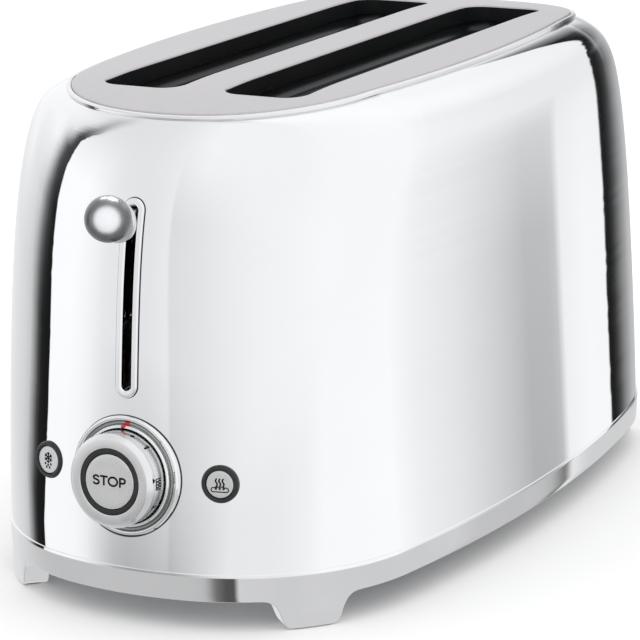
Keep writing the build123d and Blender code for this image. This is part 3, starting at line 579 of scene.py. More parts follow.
M = {
    "chrome": material("chrome", (0.915, 0.925, 0.935), 1.0, (0.012, 0.03), 26, 0.006),
    "chrome_trim": material("chrome_trim", (0.9, 0.905, 0.91), 1.0, (0.03, 0.06), 90, 0.01),
    "plate": material("plate", (0.545, 0.53, 0.54), 1.0, (0.3, 0.36), 34, 0.02,
                      grain=((3, 900, 900), 1.0, 0.05, 0.04), bump=(1.0, 0.12, 0.02, (6, 1100, 1100))),
    "rim": material("rim", (0.84, 0.84, 0.85), 1.0, (0.08, 0.13), 60, 0.02),
    "skirt": material("skirt", (0.925, 0.925, 0.925), 1.0, (0.04, 0.07), 40, 0.02, bump=(900, 0.015, 0.01)),
    "rubber": material("rubber", (0.025, 0.025, 0.027), 0.0, (0.55, 0.7), 300, 0.15, bump=(1500, 0.25, 0.05)),
    # ball: the chrome ball gets a near-black base, which is painted shade and painted dark reflection; its bright
    # middle and glints come from its own lamps
    "ball": material("ball", (0.094, 0.096, 0.1), 1.0, (0.36, 0.4), 80, 0.02, coat=(0.8, 0.13)),
    "collar": material("collar", (0.78, 0.78, 0.79), 1.0, (0.18, 0.24), 120, 0.02),
    "knob": material("knob", (0.84, 0.84, 0.84), 1.0, (0.2, 0.25), 160, 0.012, bump=(1200, 0.03, 0.01)),
    "knob_face": material("knob_face", (0.68, 0.68, 0.68), 1.0, (0.3, 0.36), 160, 0.015, bump=(1800, 0.08, 0.01)),
    "cap": material("cap", (0.70, 0.70, 0.70), 0.85, (0.36, 0.42), 160, 0.015, bump=(1800, 0.08, 0.01)),
    # grey for the hollow of the dial's surround: painted shade in a groove that is chrome like the rest
    "groove_shade": material("groove_shade", (0.36, 0.36, 0.355), 1.0, (0.2, 0.28), 160, 0.03, bump=(1200, 0.05, 0.01)),
    "dark_ring": material("dark_ring", (0.02, 0.021, 0.023), 0.0, (0.25, 0.32), 200, 0.1, bump=(900, 0.1, 0.02), spec=0.35),
    "ink": material("ink", (0.006, 0.006, 0.007), 0.0, (0.5, 0.6), 400, 0.1, spec=0.15),
    "red": material("red", (0.45, 0.008, 0.012), 0.0, (0.25, 0.33), 300, 0.1, coat=(0.4, 0.1)),
    # near-black for the slot funnels and the top plate's slot lips: painted shade down inside the slots
    "liner": material("liner", (0.032, 0.035, 0.037), 0.7, (0.27, 0.3), 30, 0.05, bump=(900, 0.03, 0.01)),
    # near-black steel for the reflectors, chamber deck and bread racks: painted shade of the deep slots
    "slot_shade_steel": material("slot_shade_steel", (0.06, 0.06, 0.065), 0.9, (0.3, 0.5), 45, 0.3, bump=(300, 0.15, 0.05)),
    "zinc": material("zinc", (0.5, 0.51, 0.52), 0.95, (0.28, 0.42), 28, 0.12, detail=5.0, bump=(60, 0.05, 0.05)),
    # mica: brown that is partly the boards' own colour and partly painted shade, darker than bare mica
    "mica": material("mica", (0.23, 0.18, 0.13), 0.0, (0.3, 0.5), 90, 0.25, tint=(0.34, 0.28, 0.2),
                     stretch=(1, 1, 2.4), bump=(160, 0.2, 0.05)),
    "ribbon": material("ribbon", (0.25, 0.22, 0.2), 1.0, (0.35, 0.5), 200, 0.2),
    "wire": material("wire", (0.6, 0.6, 0.61), 1.0, (0.16, 0.26), 150, 0.05),
    "brass": material("brass", (0.62, 0.45, 0.2), 1.0, (0.25, 0.36), 120, 0.08),
    "spring": material("spring", (0.42, 0.42, 0.44), 1.0, (0.2, 0.3), 200, 0.08),
    "iron": material("iron", (0.28, 0.28, 0.29), 1.0, (0.38, 0.5), 120, 0.1, bump=(400, 0.1, 0.03)),
    "copper": material("copper", (0.55, 0.24, 0.11), 1.0, (0.3, 0.42), 120, 0.1,
                       bump=(1.0, 0.5, 0.2, (60, 60, 2600))),
    "board": material("board", (0.03, 0.12, 0.05), 0.0, (0.3, 0.4), 60, 0.12, coat=(0.3, 0.2), bump=(300, 0.1, 0.03)),
    "black": material("black", (0.02, 0.02, 0.021), 0.0, (0.36, 0.5), 150, 0.15, bump=(700, 0.1, 0.03)),
    "cream": material("cream", (0.66, 0.6, 0.46), 0.0, (0.4, 0.5), 80, 0.06, bump=(300, 0.08, 0.03)),
    "steel": material("steel", (0.6, 0.6, 0.61), 1.0, (0.2, 0.32), 60, 0.05, bump=(1.0, 0.08, 0.02, (900, 900, 5))),
    "inner_skin": material("inner_skin", (0.33, 0.335, 0.34), 1.0, (0.35, 0.45), 40, 0.06, bump=(300, 0.06, 0.03)),
}

KEEP = {
    "floor_plate": "zinc", "floor_cover": "black", "cord_wrap": "black", "screws": "steel", "crumb_tray": "zinc",
    "chassis_front": "zinc", "chassis_rear": "zinc", "reflector_left": "slot_shade_steel", "reflector_right": "slot_shade_steel",
    "chamber_deck": "slot_shade_steel", "heater_boards": "mica", "heater_ribbons": "ribbon", "carriage_plate": "zinc",
    "carriage_bushes": "brass", "guide_rods": "steel", "rod_brackets": "zinc", "return_spring": "spring",
    "bread_rack_left": "slot_shade_steel", "bread_rack_right": "slot_shade_steel", "lever_arm": "steel", "keeper": "iron",
    "magnet_core": "iron", "magnet_coils": "copper", "magnet_bracket": "zinc", "dial_shaft": "steel",
    "potentiometer": "steel", "control_board": "board", "board_components": "black", "button_switches": "black",
    "power_board": "board", "power_components": "black", "board_brackets": "zinc", "terminal_block": "cream",
}
NODE["lever_arm"].visible_glossy = False
for name, o in NODE.items():
    m = M[KEEP.get(name, "steel")]
    o.data.materials.clear()
    o.data.materials.append(m)


# ------------------------------------------------------------------ body shell
def build_shell():
    d0 = share_dims(np.array(0.3))
    c1x, c2y, cx, cy, t1, t2 = [float(v) for v in arcs(d0)]
    re, rs, rc = float(d0[2]), float(d0[3]), float(d0[4])
    q = []
    ne, nc, ns = int(re * t1 / 2.2) + 1, int(rc * (t2 - t1) / 1.7) + 1, int(rs * (math.pi / 2 - t2) / 4.0) + 1
    q += list(np.linspace(0, t1, ne, endpoint=False))
    q += list(np.linspace(t1, t2, nc, endpoint=False))
    q += list(np.linspace(t2, math.pi / 2, ns, endpoint=False))
    q = np.array(q)
    th = np.concatenate([q, math.pi - np.append(q[1:], math.pi / 2)[::-1], math.pi + q,
                         2 * math.pi - np.append(q[1:], math.pi / 2)[::-1]])
    th = np.sort(np.unique(np.round(th, 9)))
    nt = len(th)
    # rows: spaced by arc length and by turning of the side and end profiles
    w = np.linspace(0, 1, 4001)
    z = Z0 + w * (Z1 - Z0)
    meas = np.zeros(len(w) - 1)
    for k in (0, 1):
        v = share_dims(w)[k]
        ds = np.hypot(np.diff(v), np.diff(z))
        al = np.unwrap(np.arctan2(np.diff(v), np.diff(z)))
        da = np.abs(np.append(np.diff(al), 0))
        meas = np.maximum(meas, ds / 3.2 + da / math.radians(1.7))
    cum = np.concatenate([[0], np.cumsum(meas)])
    nr = int(cum[-1]) + 1
    g = np.interp(np.linspace(0, cum[-1], nr), cum, w)
    P, N = wall(th[None, :], g[:, None])
    # a narrow flange under the rim
    fl = P[-1] - 1.6 * np.stack([np.cos(th), np.sin(th), np.zeros(nt)], -1)
    P = np.concatenate([P, fl[None]])
    N = np.concatenate([N, np.broadcast_to([0, 0, 1.0], (1, nt, 3))])
    nr += 1
    # windows in both ends, triangulated around their holes
    verts, norms, faces, kinds = P.reshape(-1, 3), N.reshape(-1, 3), [], []
    skip = np.zeros((nr - 1, nt), bool)
    extra_v, extra_n, extra_f = [], [], []
    off = nr * nt
    for sx, ylo, yhi, zlo, zhi in ((-1, -54.0, 54.0, 29.0, 178.0), (1, -64.0, -40.0, 29.0, 52.0)):
        y0, x0 = P[0, :, 1], P[0, :, 0]
        cols = [i for i in range(nt) if x0[i] * sx > 0 and abs(y0[i]) < 90 and ylo <= y0[i] <= yhi]
        cols.sort(key=lambda i: (th[i] if sx < 0 else (th[i] + math.pi) % (2 * math.pi)))
        rows = [j for j in range(nr - 1) if zlo <= Z0 + g[j] * (Z1 - 4 - Z0) <= zhi]
        c0, c1_, r0, r1_ = cols[0], cols[-1], rows[0], rows[-1]
        loop = [(r0, i) for i in cols] + [(j, cols[-1]) for j in rows[1:]] + [(r1_, i) for i in cols[::-1][1:]] + \
               [(j, cols[0]) for j in rows[::-1][1:-1]]
        for j in rows[:-1]:
            for i in cols[:-1]:
                skip[j, i] = True
        outer = np.array([(P[j, i, 1], P[j, i, 2]) for j, i in loop])
        idx = [j * nt + i for j, i in loop]
        inner = [(P[j, i, 1], P[j, i, 2]) for j in rows[1:-1] for i in cols[1:-1]]
        holes, rings = [], []

        def round_hole(ax, r, n):
            t = np.linspace(0, 2 * math.pi, n, endpoint=False)
            p = ax.at(r * np.cos(t), r * np.sin(t), 0)
            for _ in range(8):
                s, _n = end_wall(p[:, 1], p[:, 2], sx)
                k = (s[:, 0] - p[:, 0]) / ax.n[0]
                p = p + k[:, None] * ax.n
            return p[:, 1:3]

        if sx < 0:
            for ax, r, n in ((DIAL, 24.69, 120), (BTN[1], 7.79, 60), (BTN[-1], 7.79, 60)):
                holes.append(round_hole(ax, r, n))
                for k in (1.3, 2.8, 4.6):
                    rings += round_hole(ax, r + k, int(n * (1 + k / r) * (1 if k < 2 else .7))).tolist()
            st = stadium(TRIM_W / 2 - 1.2, SLOT_BOT + 1.2, SLOT_TOP - 1.2, 14, 40)
            holes.append(st)
            for k, n in ((1.5, 11), (3.2, 8)):
                rings += stadium(TRIM_W / 2 - 1.2 + k, SLOT_BOT + 1.2 - k, SLOT_TOP - 1.2 + k, n, 28).tolist()
        else:
            holes.append(round_hole(INLET, 6.9, 48))
            for k in (1.3, 2.8):
                rings += round_hole(INLET, 6.9 + k, 40).tolist()
        q = np.array(inner)
        far = np.ones(len(q), bool)
        for h in holes:
            far &= poly_dist(q[:, 0], q[:, 1], h) > 5.2 if len(h) > 50 and sx < 0 else poly_dist(q[:, 0], q[:, 1], h) > 3.6
        inner = q[far].tolist() + rings
        pts, tri = fill(outer, holes, inner, 0.9)
        no = len(outer)
        V, Nn = end_wall(pts[no:, 0], pts[no:, 1], sx)
        extra_v.append(V)
        extra_n.append(Nn)
        lut = np.array(idx + [off + k for k in range(len(pts) - no)])
        off += len(pts) - no
        t3 = lut[tri]
        extra_f.append(t3 if sx > 0 else t3[:, ::-1])
    for j in range(nr - 1):
        for i in range(nt):
            if not skip[j, i]:
                k = (i + 1) % nt
                faces.append((j * nt + i, j * nt + k, (j + 1) * nt + k, (j + 1) * nt + i))
    verts = np.concatenate([verts] + extra_v)
    norms = np.concatenate([norms] + extra_n)
    for t3 in extra_f:
        faces += [tuple(r) for r in t3.tolist()]
    # keep only used vertices
    used = np.zeros(len(verts), bool)
    for f in faces:
        for i in f:
            used[i] = True
    new = np.cumsum(used) - 1
    faces = [tuple(int(new[i]) for i in f) for f in faces]
    verts, norms = verts[used], norms[used]
    # orient all outwards
    fx = []
    for f in faces:
        a, b, c = verts[f[0]], verts[f[1]], verts[f[2]]
        n = np.cross(b - a, c - a)
        fx.append(f if n @ norms[f[0]] > 0 else f[::-1])
    return thick(verts, norms, fx, T_SHELL)


def thick(verts, norms, faces, t):
    # A sheet: the outer skin, an inner skin t below it and walls along its edges.
    nv = len(verts)
    seen = {}
    for f in faces:
        for a, b in zip(f, f[1:] + f[:1]):
            seen[(a, b)] = True
    edge = [(a, b) for a, b in seen if (b, a) not in seen]
    v = np.concatenate([verts, verts - norms * t])
    n = np.concatenate([norms, -norms])
    out = list(faces) + [tuple(i + nv for i in f[::-1]) for f in faces]
    kinds = [0] * len(out)
    fm = [0] * len(faces) + [1] * len(faces)
    for a, b in edge:
        out.append((b, a, a + nv, b + nv))
        kinds.append(1)
        fm.append(0)
    return v, n, out, kinds, fm


def stadium(r, z0, z1, ns, nstraight):
    # Upright stadium in (y, z), counter-clockwise, half width r.
    p = []
    for k in range(ns + 1):
        t = math.pi + math.pi * k / ns
        p.append((r * math.cos(t), z0 + r + r * math.sin(t)))
    for k in range(1, nstraight):
        p.append((r, z0 + r + (z1 - z0 - 2 * r) * k / nstraight))
    for k in range(ns + 1):
        t = math.pi * k / ns
        p.append((r * math.cos(t), z1 - r + r * math.sin(t)))
    for k in range(1, nstraight):
        p.append((-r, z1 - r - (z1 - z0 - 2 * r) * k / nstraight))
    return np.array(p)


v, n, f, kinds, fm = build_shell()
shell = make("body_shell", v, f, [M["chrome"], M["inner_skin"]], slot="body_chrome", nodes=tuple(n_ for n_ in NODE if n_.startswith("shell_") or n_ == "outer_shell"),
             vnorm=n, kinds=kinds, fmat=fm)


# ------------------------------------------------------------------ top plate with its two slots
def outline_off(dims, off, th):
    a, b, re, rs, rc = dims
    x, y = plan((a + off, b + off, re + off, rs + off, rc + off), th)
    return np.stack([x, y], -1)


def plan_angles(dims, de, dc, ds):
    c1x, c2y, cx, cy, t1, t2 = [float(v) for v in arcs(dims)]
    re, rs, rc = dims[2:]
    q = list(np.linspace(0, t1, int(re * t1 / de) + 1, endpoint=False)) + \
        list(np.linspace(t1, t2, int(rc * (t2 - t1) / dc) + 1, endpoint=False)) + \
        list(np.linspace(t2, math.pi / 2, int(rs * (math.pi / 2 - t2) / ds) + 1))
    q = np.array(q)
    return np.concatenate([q, math.pi - q[::-1][1:], math.pi + q[1:], 2 * math.pi - q[::-1][1:-1]])


def round_rect(x0, x1, y0, y1, r, ns, step):
    p = []
    cs = [(x1 - r, y0 + r, -math.pi / 2), (x1 - r, y1 - r, 0), (x0 + r, y1 - r, math.pi / 2), (x0 + r, y0 + r, math.pi)]
    nx_, ny_ = max(int((x1 - x0 - 2 * r) / step), 1), max(int((y1 - y0 - 2 * r) / step), 1)
    for k, (cx, cy, t0) in enumerate(cs):
        for i in range(ns + 1):
            t = t0 + math.pi / 2 * i / ns
            p.append((cx + r * math.cos(t), cy + r * math.sin(t)))
        nx2 = cs[(k + 1) % 4]
        q0 = p[-1]
        q1 = (nx2[0] + r * math.cos(nx2[2]), nx2[1] + r * math.sin(nx2[2]))
        m = ny_ if k % 2 == 0 else nx_
        for i in range(1, m):
            p.append((q0[0] + (q1[0] - q0[0]) * i / m, q0[1] + (q1[1] - q0[1]) * i / m))
    return np.array(p)


def slot_loop(s, off):
    y0, y1 = (SLOT_Y0, SLOT_Y1) if s > 0 else (-SLOT_Y1, -SLOT_Y0)
    ns, step = 12, 4.0
    base = round_rect(-SLOT_X, SLOT_X, y0, y1, SLOT_R, ns, step)
    if off == 0:
        return base
    # moved outward along the loop's own normals, so every loop has the same points
    cx0, cx1 = -SLOT_X + SLOT_R, SLOT_X - SLOT_R
    cy0, cy1 = y0 + SLOT_R, y1 - SLOT_R
    q = np.stack([np.clip(base[:, 0], cx0, cx1), np.clip(base[:, 1], cy0, cy1)], -1)
    d = base - q
    return base + off * d / np.linalg.norm(d, axis=1, keepdims=True)


def build_plate():
    th = plan_angles(TOP, 2.6, 2.2, 4.5)
    R_E, R_L = 0.6, 0.85
    outer = outline_off(TOP, -R_E, th)
    loops = {s: slot_loop(s, R_L) for s in (1, -1)}
    gx, gy = np.meshgrid(np.arange(-150, 150.1, 4.0), np.arange(-72, 72.1, 4.0))
    pts, tri = fill(outer, [loops[1], loops[-1]], np.stack([gx.ravel(), gy.ravel()], -1), 1.6)
    top = np.column_stack([pts, TOP_Z - drop(pts[:, 0])])
    V = [top, top - np.array([0, 0, T_TOP])]
    FM = [0] * (2 * len(tri))
    n0 = len(top)
    F = [tuple(t) for t in tri.tolist()] + [tuple(n0 + i for i in t[::-1]) for t in tri.tolist()]
    off = 2 * n0

    def skirt_of(rings2d, start, count, bottom_start):
        # rings2d: list of (points, height below the crown); joins the top's edge to the underside's edge
        nonlocal off
        prev = list(range(start, start + count))
        lip = len(rings2d) > 10
        for p2, dz in rings2d:
            V.append(np.column_stack([p2, TOP_Z - drop(p2[:, 0]) + dz]))
            cur = list(range(off, off + count))
            off += count
            for i in range(count):
                j = (i + 1) % count
                F.append((prev[i], prev[j], cur[j], cur[i]))
                # rows of a slot's lip below its fold take the second, near-black material: painted shade down inside
                # the slot
                FM.append(1 if lip and dz < -R_L - 0.1 else 0)
            prev = cur
        cur = list(range(bottom_start, bottom_start + count))
        for i in range(count):
            j = (i + 1) % count
            F.append((prev[i], prev[j], cur[j], cur[i]))
            FM.append(1 if lip else 0)

    no = len(outer)
    rr = []
    for k in range(1, 7):
        a = math.pi / 2 * k / 6
        rr.append((outline_off(TOP, -R_E + R_E * math.sin(a) - 0.02, th), -R_E * (1 - math.cos(a))))
    rr.append((outline_off(TOP, -0.02, th), -T_TOP))
    skirt_of(rr, 0, no, n0)
    st = no
    for s in (1, -1):
        cnt = len(loops[s])
        rr = []
        for k in range(1, 8):
            a = math.pi / 2 * k / 7
            rr.append((slot_loop(s, R_L - R_L * math.sin(a)), -R_L * (1 - math.cos(a))))
        # straight lip, rounded lower edge and back up outside
        for dz in (-1.0, -3.0, -5.0, -LIP + 0.45):
            rr.append((slot_loop(s, 0.0), dz))
        for k in range(1, 7):
            a = math.pi * k / 6
            rr.append((slot_loop(s, 0.5 - 0.5 * math.cos(a)), -LIP + 0.45 - 0.45 * math.sin(a)))
        rr.append((slot_loop(s, 1.0), -5.0))
        rr.append((slot_loop(s, 1.0), -T_TOP - 0.35))
        rr.append((slot_loop(s, 1.12), -T_TOP - 0.08))
        skirt_of(rr, st, cnt, n0 + st)
        st += cnt
    V = np.concatenate(V)
    return V, F, FM


v, f, fm = build_plate()
plate = make("top_cover", v, f, [M["plate"], M["liner"]], fmat=fm, slot="plate_steel", nodes=("top_plate",), recalc=True, sharp=50)


def build_rim():
    th = plan_angles(TOP, 2.6, 2.0, 4.5)
    prof = round_poly([(0.03, -2.28), (1.75, -2.28), (1.75, -2.0), (2.28, -1.9), (2.28, -1.0), (1.75, -0.42), (0.55, -0.42), (0.03, -0.95)],
                      [0, 0, 0.1, 0.25, 0.7, 0.7, 0.35, 0.3], 5)
    rings = []
    for u, dz in prof:
        p = outline_off(TOP, u, th)
        rings.append(np.column_stack([p, TOP_Z - drop(p[:, 0]) + dz]))
    a, fa = loops_mesh(rings, True, wrap=True)
    # shelf under the plate's edge
    prof2 = [(0.03, -2.28), (0.03, -1.52), (-5.0, -1.52), (-5.0, -2.28)]
    rings = []
    for u, dz in prof2:
        p = outline_off(TOP, u, th)
        rings.append(np.column_stack([p, TOP_Z - drop(p[:, 0]) + dz]))
    b, fb = loops_mesh(rings, True, wrap=True)
    n = len(a)
    return np.concatenate([a, b]), fa + [tuple(i + n for i in q) for q in fb]


v, f = build_rim()
rim = make("top_bead", v, f, M["rim"], slot="trim_chrome", nodes=("top_rim",), recalc=True, sharp=40)


# ------------------------------------------------------------------ base casting with its feet
BC1X, BC2Y, BCX, BCY, BT1, BT2 = [float(v) for v in arcs(BASE)]
FT = math.acos((FOOT_X - BCX) / BASE[4])          # direction of a foot's normal in the first quarter


def foot_line():
    # Right half of a foot's outline: (u along the outline, z), from the rim down to the middle of the sole.
    p = [(23.0, SKIRT_BOT), (20.2, SKIRT_BOT - 0.06), (18.2, 10.5), (16.6, 9.75), (15.4, 8.8), (14.5, 7.7),
         (13.75, 6.45), (13.1, 5.1), (12.55, 3.8), (12.0, 2.75), (11.35, 1.9), (10.5, 1.25), (9.4, 0.9), (8.0, 0.8),
         (6.0, 0.8), (3.0, 0.8), (0.0, 0.8)]
    k = (SKIRT_BOT - SOLE - PAD_H) / 10.1
    return [(u, SKIRT_BOT - (SKIRT_BOT - z) * k) for u, z in p]


def foot_angle(u, inset, side):
    # Angle in the first quarter for chord distance u from the foot's middle.
    r0, r = BASE[4], BASE[4] - inset
    lim = 20.0
    ua = math.copysign(min(abs(u), lim), u)
    k = max(0.0, min(1.0, (24.0 - abs(u)) / 6.0)) if abs(u) > 18 else 1.0
    a_par = math.asin(ua / r) + (u - ua) / r0
    a_rad = math.asin(max(-1, min(1, u / r0)))
    return FT + side * (k * a_par + (1 - k) * a_rad)


def base_bottom(inset):
    # Lower edge of the casting all the way round: list of (angle, z) at this inset.
    q = []
    half = foot_line()
    us = [(-u, z) for u, z in half] + [(u, z) for u, z in half[::-1][1:]]
    a_lo = math.asin(-23.0 / BASE[4]) + FT
    a_hi = math.asin(23.0 / BASE[4]) + FT
    # first quarter from 0 to pi/2
    q += [(t, SKIRT_BOT) for t in np.linspace(0, BT1, 24, endpoint=False) if t < a_lo - 0.01]
    q += [(t, SKIRT_BOT) for t in np.linspace(BT1, a_lo, max(int((a_lo - BT1) * BASE[4] / 2.5), 2), endpoint=False) if a_lo > BT1]
    q += [(foot_angle(u, inset, 1), z) for u, z in us]
    q += [(t, SKIRT_BOT) for t in np.linspace(a_hi, BT2, max(int((BT2 - a_hi) * BASE[4] / 2.5), 2))[1:] if BT2 > a_hi]
    q += [(t, SKIRT_BOT) for t in np.linspace(BT2, math.pi / 2, 30)[1:]]
    full = [(t, z) for t, z in q]
    full += [(math.pi - t, z) for t, z in q[::-1][1:]]
    full += [(math.pi + t, z) for t, z in q[1:]]
    full += [(2 * math.pi - t, z) for t, z in q[::-1][1:-1]]
    return np.array(full)


def arc_len(th):
    # Length along the base outline up to a normal angle, first quarter folded out.
    a, b, re, rs, rc = BASE
    q = np.arctan2(np.abs(np.sin(th)), np.abs(np.cos(th)))
    l = np.where(q < BT1, re * q, np.where(q < BT2, re * BT1 + rc * (q - BT1), re * BT1 + rc * (BT2 - BT1) + rs * (q - BT2)))
    Q = re * BT1 + rc * (BT2 - BT1) + rs * (math.pi / 2 - BT2)
    quad = np.floor((th + 1e-12) / (math.pi / 2)).astype(int)
    return np.where(quad % 2 == 0, quad * Q + l, (quad + 1) * Q - l), Q


def build_casting():
    # The outer face is a strip in (arc length, height); its seam is in the middle of a long side, away
    # from the tray window at the rear end.
    R, D = 0.3, FLANGE
    a, b, re, rs, rc = BASE
    bot0 = base_bottom(0.0)
    sb, Q = arc_len(bot0[:, 0])
    L = 4 * Q
    zb = bot0[:, 1]
    nb = len(sb)
    ds = (np.roll(sb, -1) - np.roll(sb, 1) + L / 2) % L - L / 2
    dz = np.roll(zb, -1) - np.roll(zb, 1)
    ln = np.hypot(ds, dz)
    mb = np.stack([dz / ln, -ds / ln], -1)
    seam = Q                                             # +Y side
    nt = 480
    st = (np.arange(nt) + 0.5) / nt * L + seam
    k0 = int(np.argmin(np.abs((sb - seam + L / 2) % L - L / 2)))
    roll = np.roll(np.arange(nb), -k0)
    sb2 = (sb[roll] - seam - 1e-6) % L + seam
    sb2[0] = seam
    zb2, mb2 = zb[roll], mb[roll]
    TAB = np.linspace(0, 2 * math.pi, 80001)[:-1]
    STAB = arc_len(TAB)[0]

    def angle(s):
        return np.interp(np.asarray(s) % L, STAB, TAB)

    def fold(th):
        quad = np.minimum((th / (math.pi / 2) + 1e-9).astype(int), 3)
        f = np.where(quad == 0, th, np.where(quad == 1, math.pi - th, np.where(quad == 2, th - math.pi, 2 * math.pi - th)))
        return quad, f

    def pos(s, z, depth, parallel=True):
        s, z, depth = np.broadcast_arrays(np.asarray(s, float), np.asarray(z, float), np.asarray(depth, float))
        th = angle(s)
        ins = np.clip((z - SKIRT_BOT) / (SKIRT_TOP - SKIRT_BOT), -1.2, 1) * SKIRT_IN + depth
        if parallel:
            quad, f = fold(th)
            u = np.sin(f - FT) * rc
            k = np.clip((27.0 - np.abs(u)) / 9.0, 0, 1)
            k = k * k * (3 - 2 * k)
            k = np.where((f > BT1) & (f < BT2), k, 0.0)
            r = rc - ins
            fp = FT + np.arcsin(np.clip(u / r, -0.95, 0.95))
            f2 = f * (1 - k) + fp * k
            th = np.where(quad == 0, f2, np.where(quad == 1, math.pi - f2, np.where(quad == 2, math.pi + f2, 2 * math.pi - f2)))
        x, y = plan((a - ins, b - ins, re - ins, rs - ins, rc - ins), th)
        return np.column_stack([x, y, z])

    # flat region: lower edge and upper edge moved in by R, the seam ends match
    lo_s, lo_z = sb2 - mb2[:, 0] * R, zb2 - mb2[:, 1] * R
    hi_s, hi_z = st, np.full(nt, SKIRT_TOP - R)
    zs = [13.4, 15.9, 18.4, 20.6]
    outer = [(lo_s[0], lo_z[0])] + list(zip(lo_s[1:], lo_z[1:])) + [(lo_s[0] + L, lo_z[0])]
    outer += [(seam + L, z) for z in zs] + [(seam + L, SKIRT_TOP - R)]
    outer += list(zip(hi_s[::-1], hi_z[::-1])) + [(seam, SKIRT_TOP - R)] + [(seam, z) for z in zs[::-1]]
    WY, WZ0, WZ1, rw = 58.6, 16.1, 20.9, 1.2
    q = math.asin(WY / re)
    if q > BT1:
        q = math.asin((WY - BCY) / rc)
    sw = float(arc_len(np.array([q]))[0][0])
    win = [(-sw, WZ0), (sw, WZ0), (sw, WZ1), (-sw, WZ1)]
    win = round_poly(win, rw, 5)
    dense = []
    for p, p2 in zip(win, win[1:] + win[:1]):
        m = max(int(abs(p2[0] - p[0]) / 2.6), 1)
        dense += [(p[0] + (p2[0] - p[0]) * i / m, p[1] + (p2[1] - p[1]) * i / m) for i in range(m)]
    win = np.array(dense)
    wds = np.roll(win, -1, 0) - np.roll(win, 1, 0)
    wn = np.stack([-wds[:, 1], wds[:, 0]], -1)           # into the window's opening
    wn /= np.linalg.norm(wn, axis=1, keepdims=True)
    hole = win - wn * 0.5
    hole[:, 0] += 4 * Q                                  # seam + L > 4Q > seam
    ip = [(float(s), z) for s in np.arange(seam + 2, seam + L - 1, 2.6) for z in zs]
    for t in (math.pi - FT, math.pi + FT, 2 * math.pi - FT, 2 * math.pi + FT):
        sf = float(arc_len(np.array([t % (2 * math.pi)]))[0][0])
        sf = (sf - seam) % L + seam
        ip += [(sf + du, z) for du in np.arange(-15.4, 15.5, 2.2) for z in (0.9, 2.9, 4.7, 6.6, 8.5, 10.5, 12.2)]
    pts, tri = fill(outer, [hole], ip, 0.9)
    V = [pos(pts[:, 0], pts[:, 1], 0.0)]
    F = [tuple(t) for t in tri.tolist()]
    # weld the seam
    no = len(outer)
    nlo = nb + 1
    i_lo_end = nb
    weld = {i_lo_end: 0}
    for k in range(len(zs) + 1):
        weld[nlo + k] = (no - 1 - k) if k < len(zs) else (no - 1 - len(zs))
    F = [tuple(weld.get(i, i) for i in f_) for f_ in F]
    off = len(pts)
    lower = list(range(0, nb))
    upper_start = nlo + len(zs) + 1
    upper = list(range(upper_start + nt - 1, upper_start - 1, -1))   # in rising arc length
    corner = no - 1 - len(zs)                                        # the seam's own top point
    upper = [corner] + upper
    s_up = np.concatenate([[seam], st])
    hol = list(range(no, no + len(hole)))

    def strip(prev, rows):
        nonlocal off
        n_ = len(prev)
        for r_ in rows:
            V.append(r_)
            cur = list(range(off, off + n_))
            off += n_
            for i in range(n_):
                j = (i + 1) % n_
                F.append((prev[i], prev[j], cur[j], cur[i]))
            prev = cur
        return prev

    rows = []
    for k in range(1, 6):
        w = math.pi / 2 * k / 5
        rows.append(pos(lo_s + mb2[:, 0] * R * math.sin(w), lo_z + mb2[:, 1] * R * math.sin(w), R * (1 - math.cos(w))))
    for d in (2.6, 5.2, 7.8):
        rows.append(pos(sb2, zb2, d))
    for k in range(0, 5):
        w = math.pi / 2 * k / 4
        rows.append(pos(sb2 - mb2[:, 0] * 0.6 * (1 - math.cos(w)), zb2 - mb2[:, 1] * 0.6 * (1 - math.cos(w)), D - 0.6 + 0.6 * math.sin(w)))
    lower_in = strip(lower, rows)
    # upper edge, ledge, inner wall and the top of the flange
    rows = []
    R2 = 0.55
    for k in range(1, 6):
        w = math.pi / 2 * k / 5
        rows.append(pos(s_up, SKIRT_TOP - R + R * math.sin(w), R * (1 - math.cos(w)), False))
    rows.append(pos(s_up, SKIRT_TOP, 1.9, False))
    for k in range(0, 4):
        w = math.pi / 2 * k / 3
        rows.append(pos(s_up, SKIRT_TOP - R2 * (1 - math.cos(w)), SKIRT_T - R2 - SKIRT_IN + R2 * math.sin(w), False))
    up = strip(upper, rows)
    ins_pos = lambda z, i0: np.column_stack(list(plan((a - i0, b - i0, re - i0, rs - i0, rc - i0), angle(s_up))) + [np.full(len(s_up), z)])
    up = strip(up, [ins_pos(18.6, SKIRT_T), ins_pos(14.6, SKIRT_T), ins_pos(14.6, 7.0), ins_pos(14.6, D)])
    # inner upright face from the flange's top down to the lower edge, feet included
    lo2 = np.column_stack([sb2 - mb2[:, 0] * 0.6, zb2 - mb2[:, 1] * 0.6])
    loop = [tuple(lo2[0])] + [tuple(p) for p in lo2[1:]] + [(lo2[0][0] + L, lo2[0][1])] + [(seam + L, 14.6)] + \
           [(s, 14.6) for s in st[::-1]] + [(seam, 14.6)]
    ip = []
    for t in (math.pi - FT, math.pi + FT, 2 * math.pi - FT, 2 * math.pi + FT):
        sf = float(arc_len(np.array([t % (2 * math.pi)]))[0][0])
        sf = (sf - seam) % L + seam
        ip += [(sf + du, z) for du in np.arange(-12, 12.1, 3.0) for z in (3.8, 6.6, 9.4, 12.2)]
    p2, tri2 = fill(loop, [], ip, 1.2)
    nl = len(loop)
    lut = {}
    for i in range(nb):
        lut[i] = lower_in[i]
    lut[nb] = lower_in[0]
    lut[nb + 1] = up[0]
    for i in range(nt):
        lut[nb + 2 + i] = up[1 + (nt - 1 - i)]
    lut[nb + 2 + nt] = up[0]
    if len(p2) > nl:
        V.append(pos(p2[nl:, 0], p2[nl:, 1], D))
        for i in range(nl, len(p2)):
            lut[i] = off + i - nl
        off += len(p2) - nl
    F += [tuple(lut[i] for i in t[::-1]) for t in tri2.tolist()]
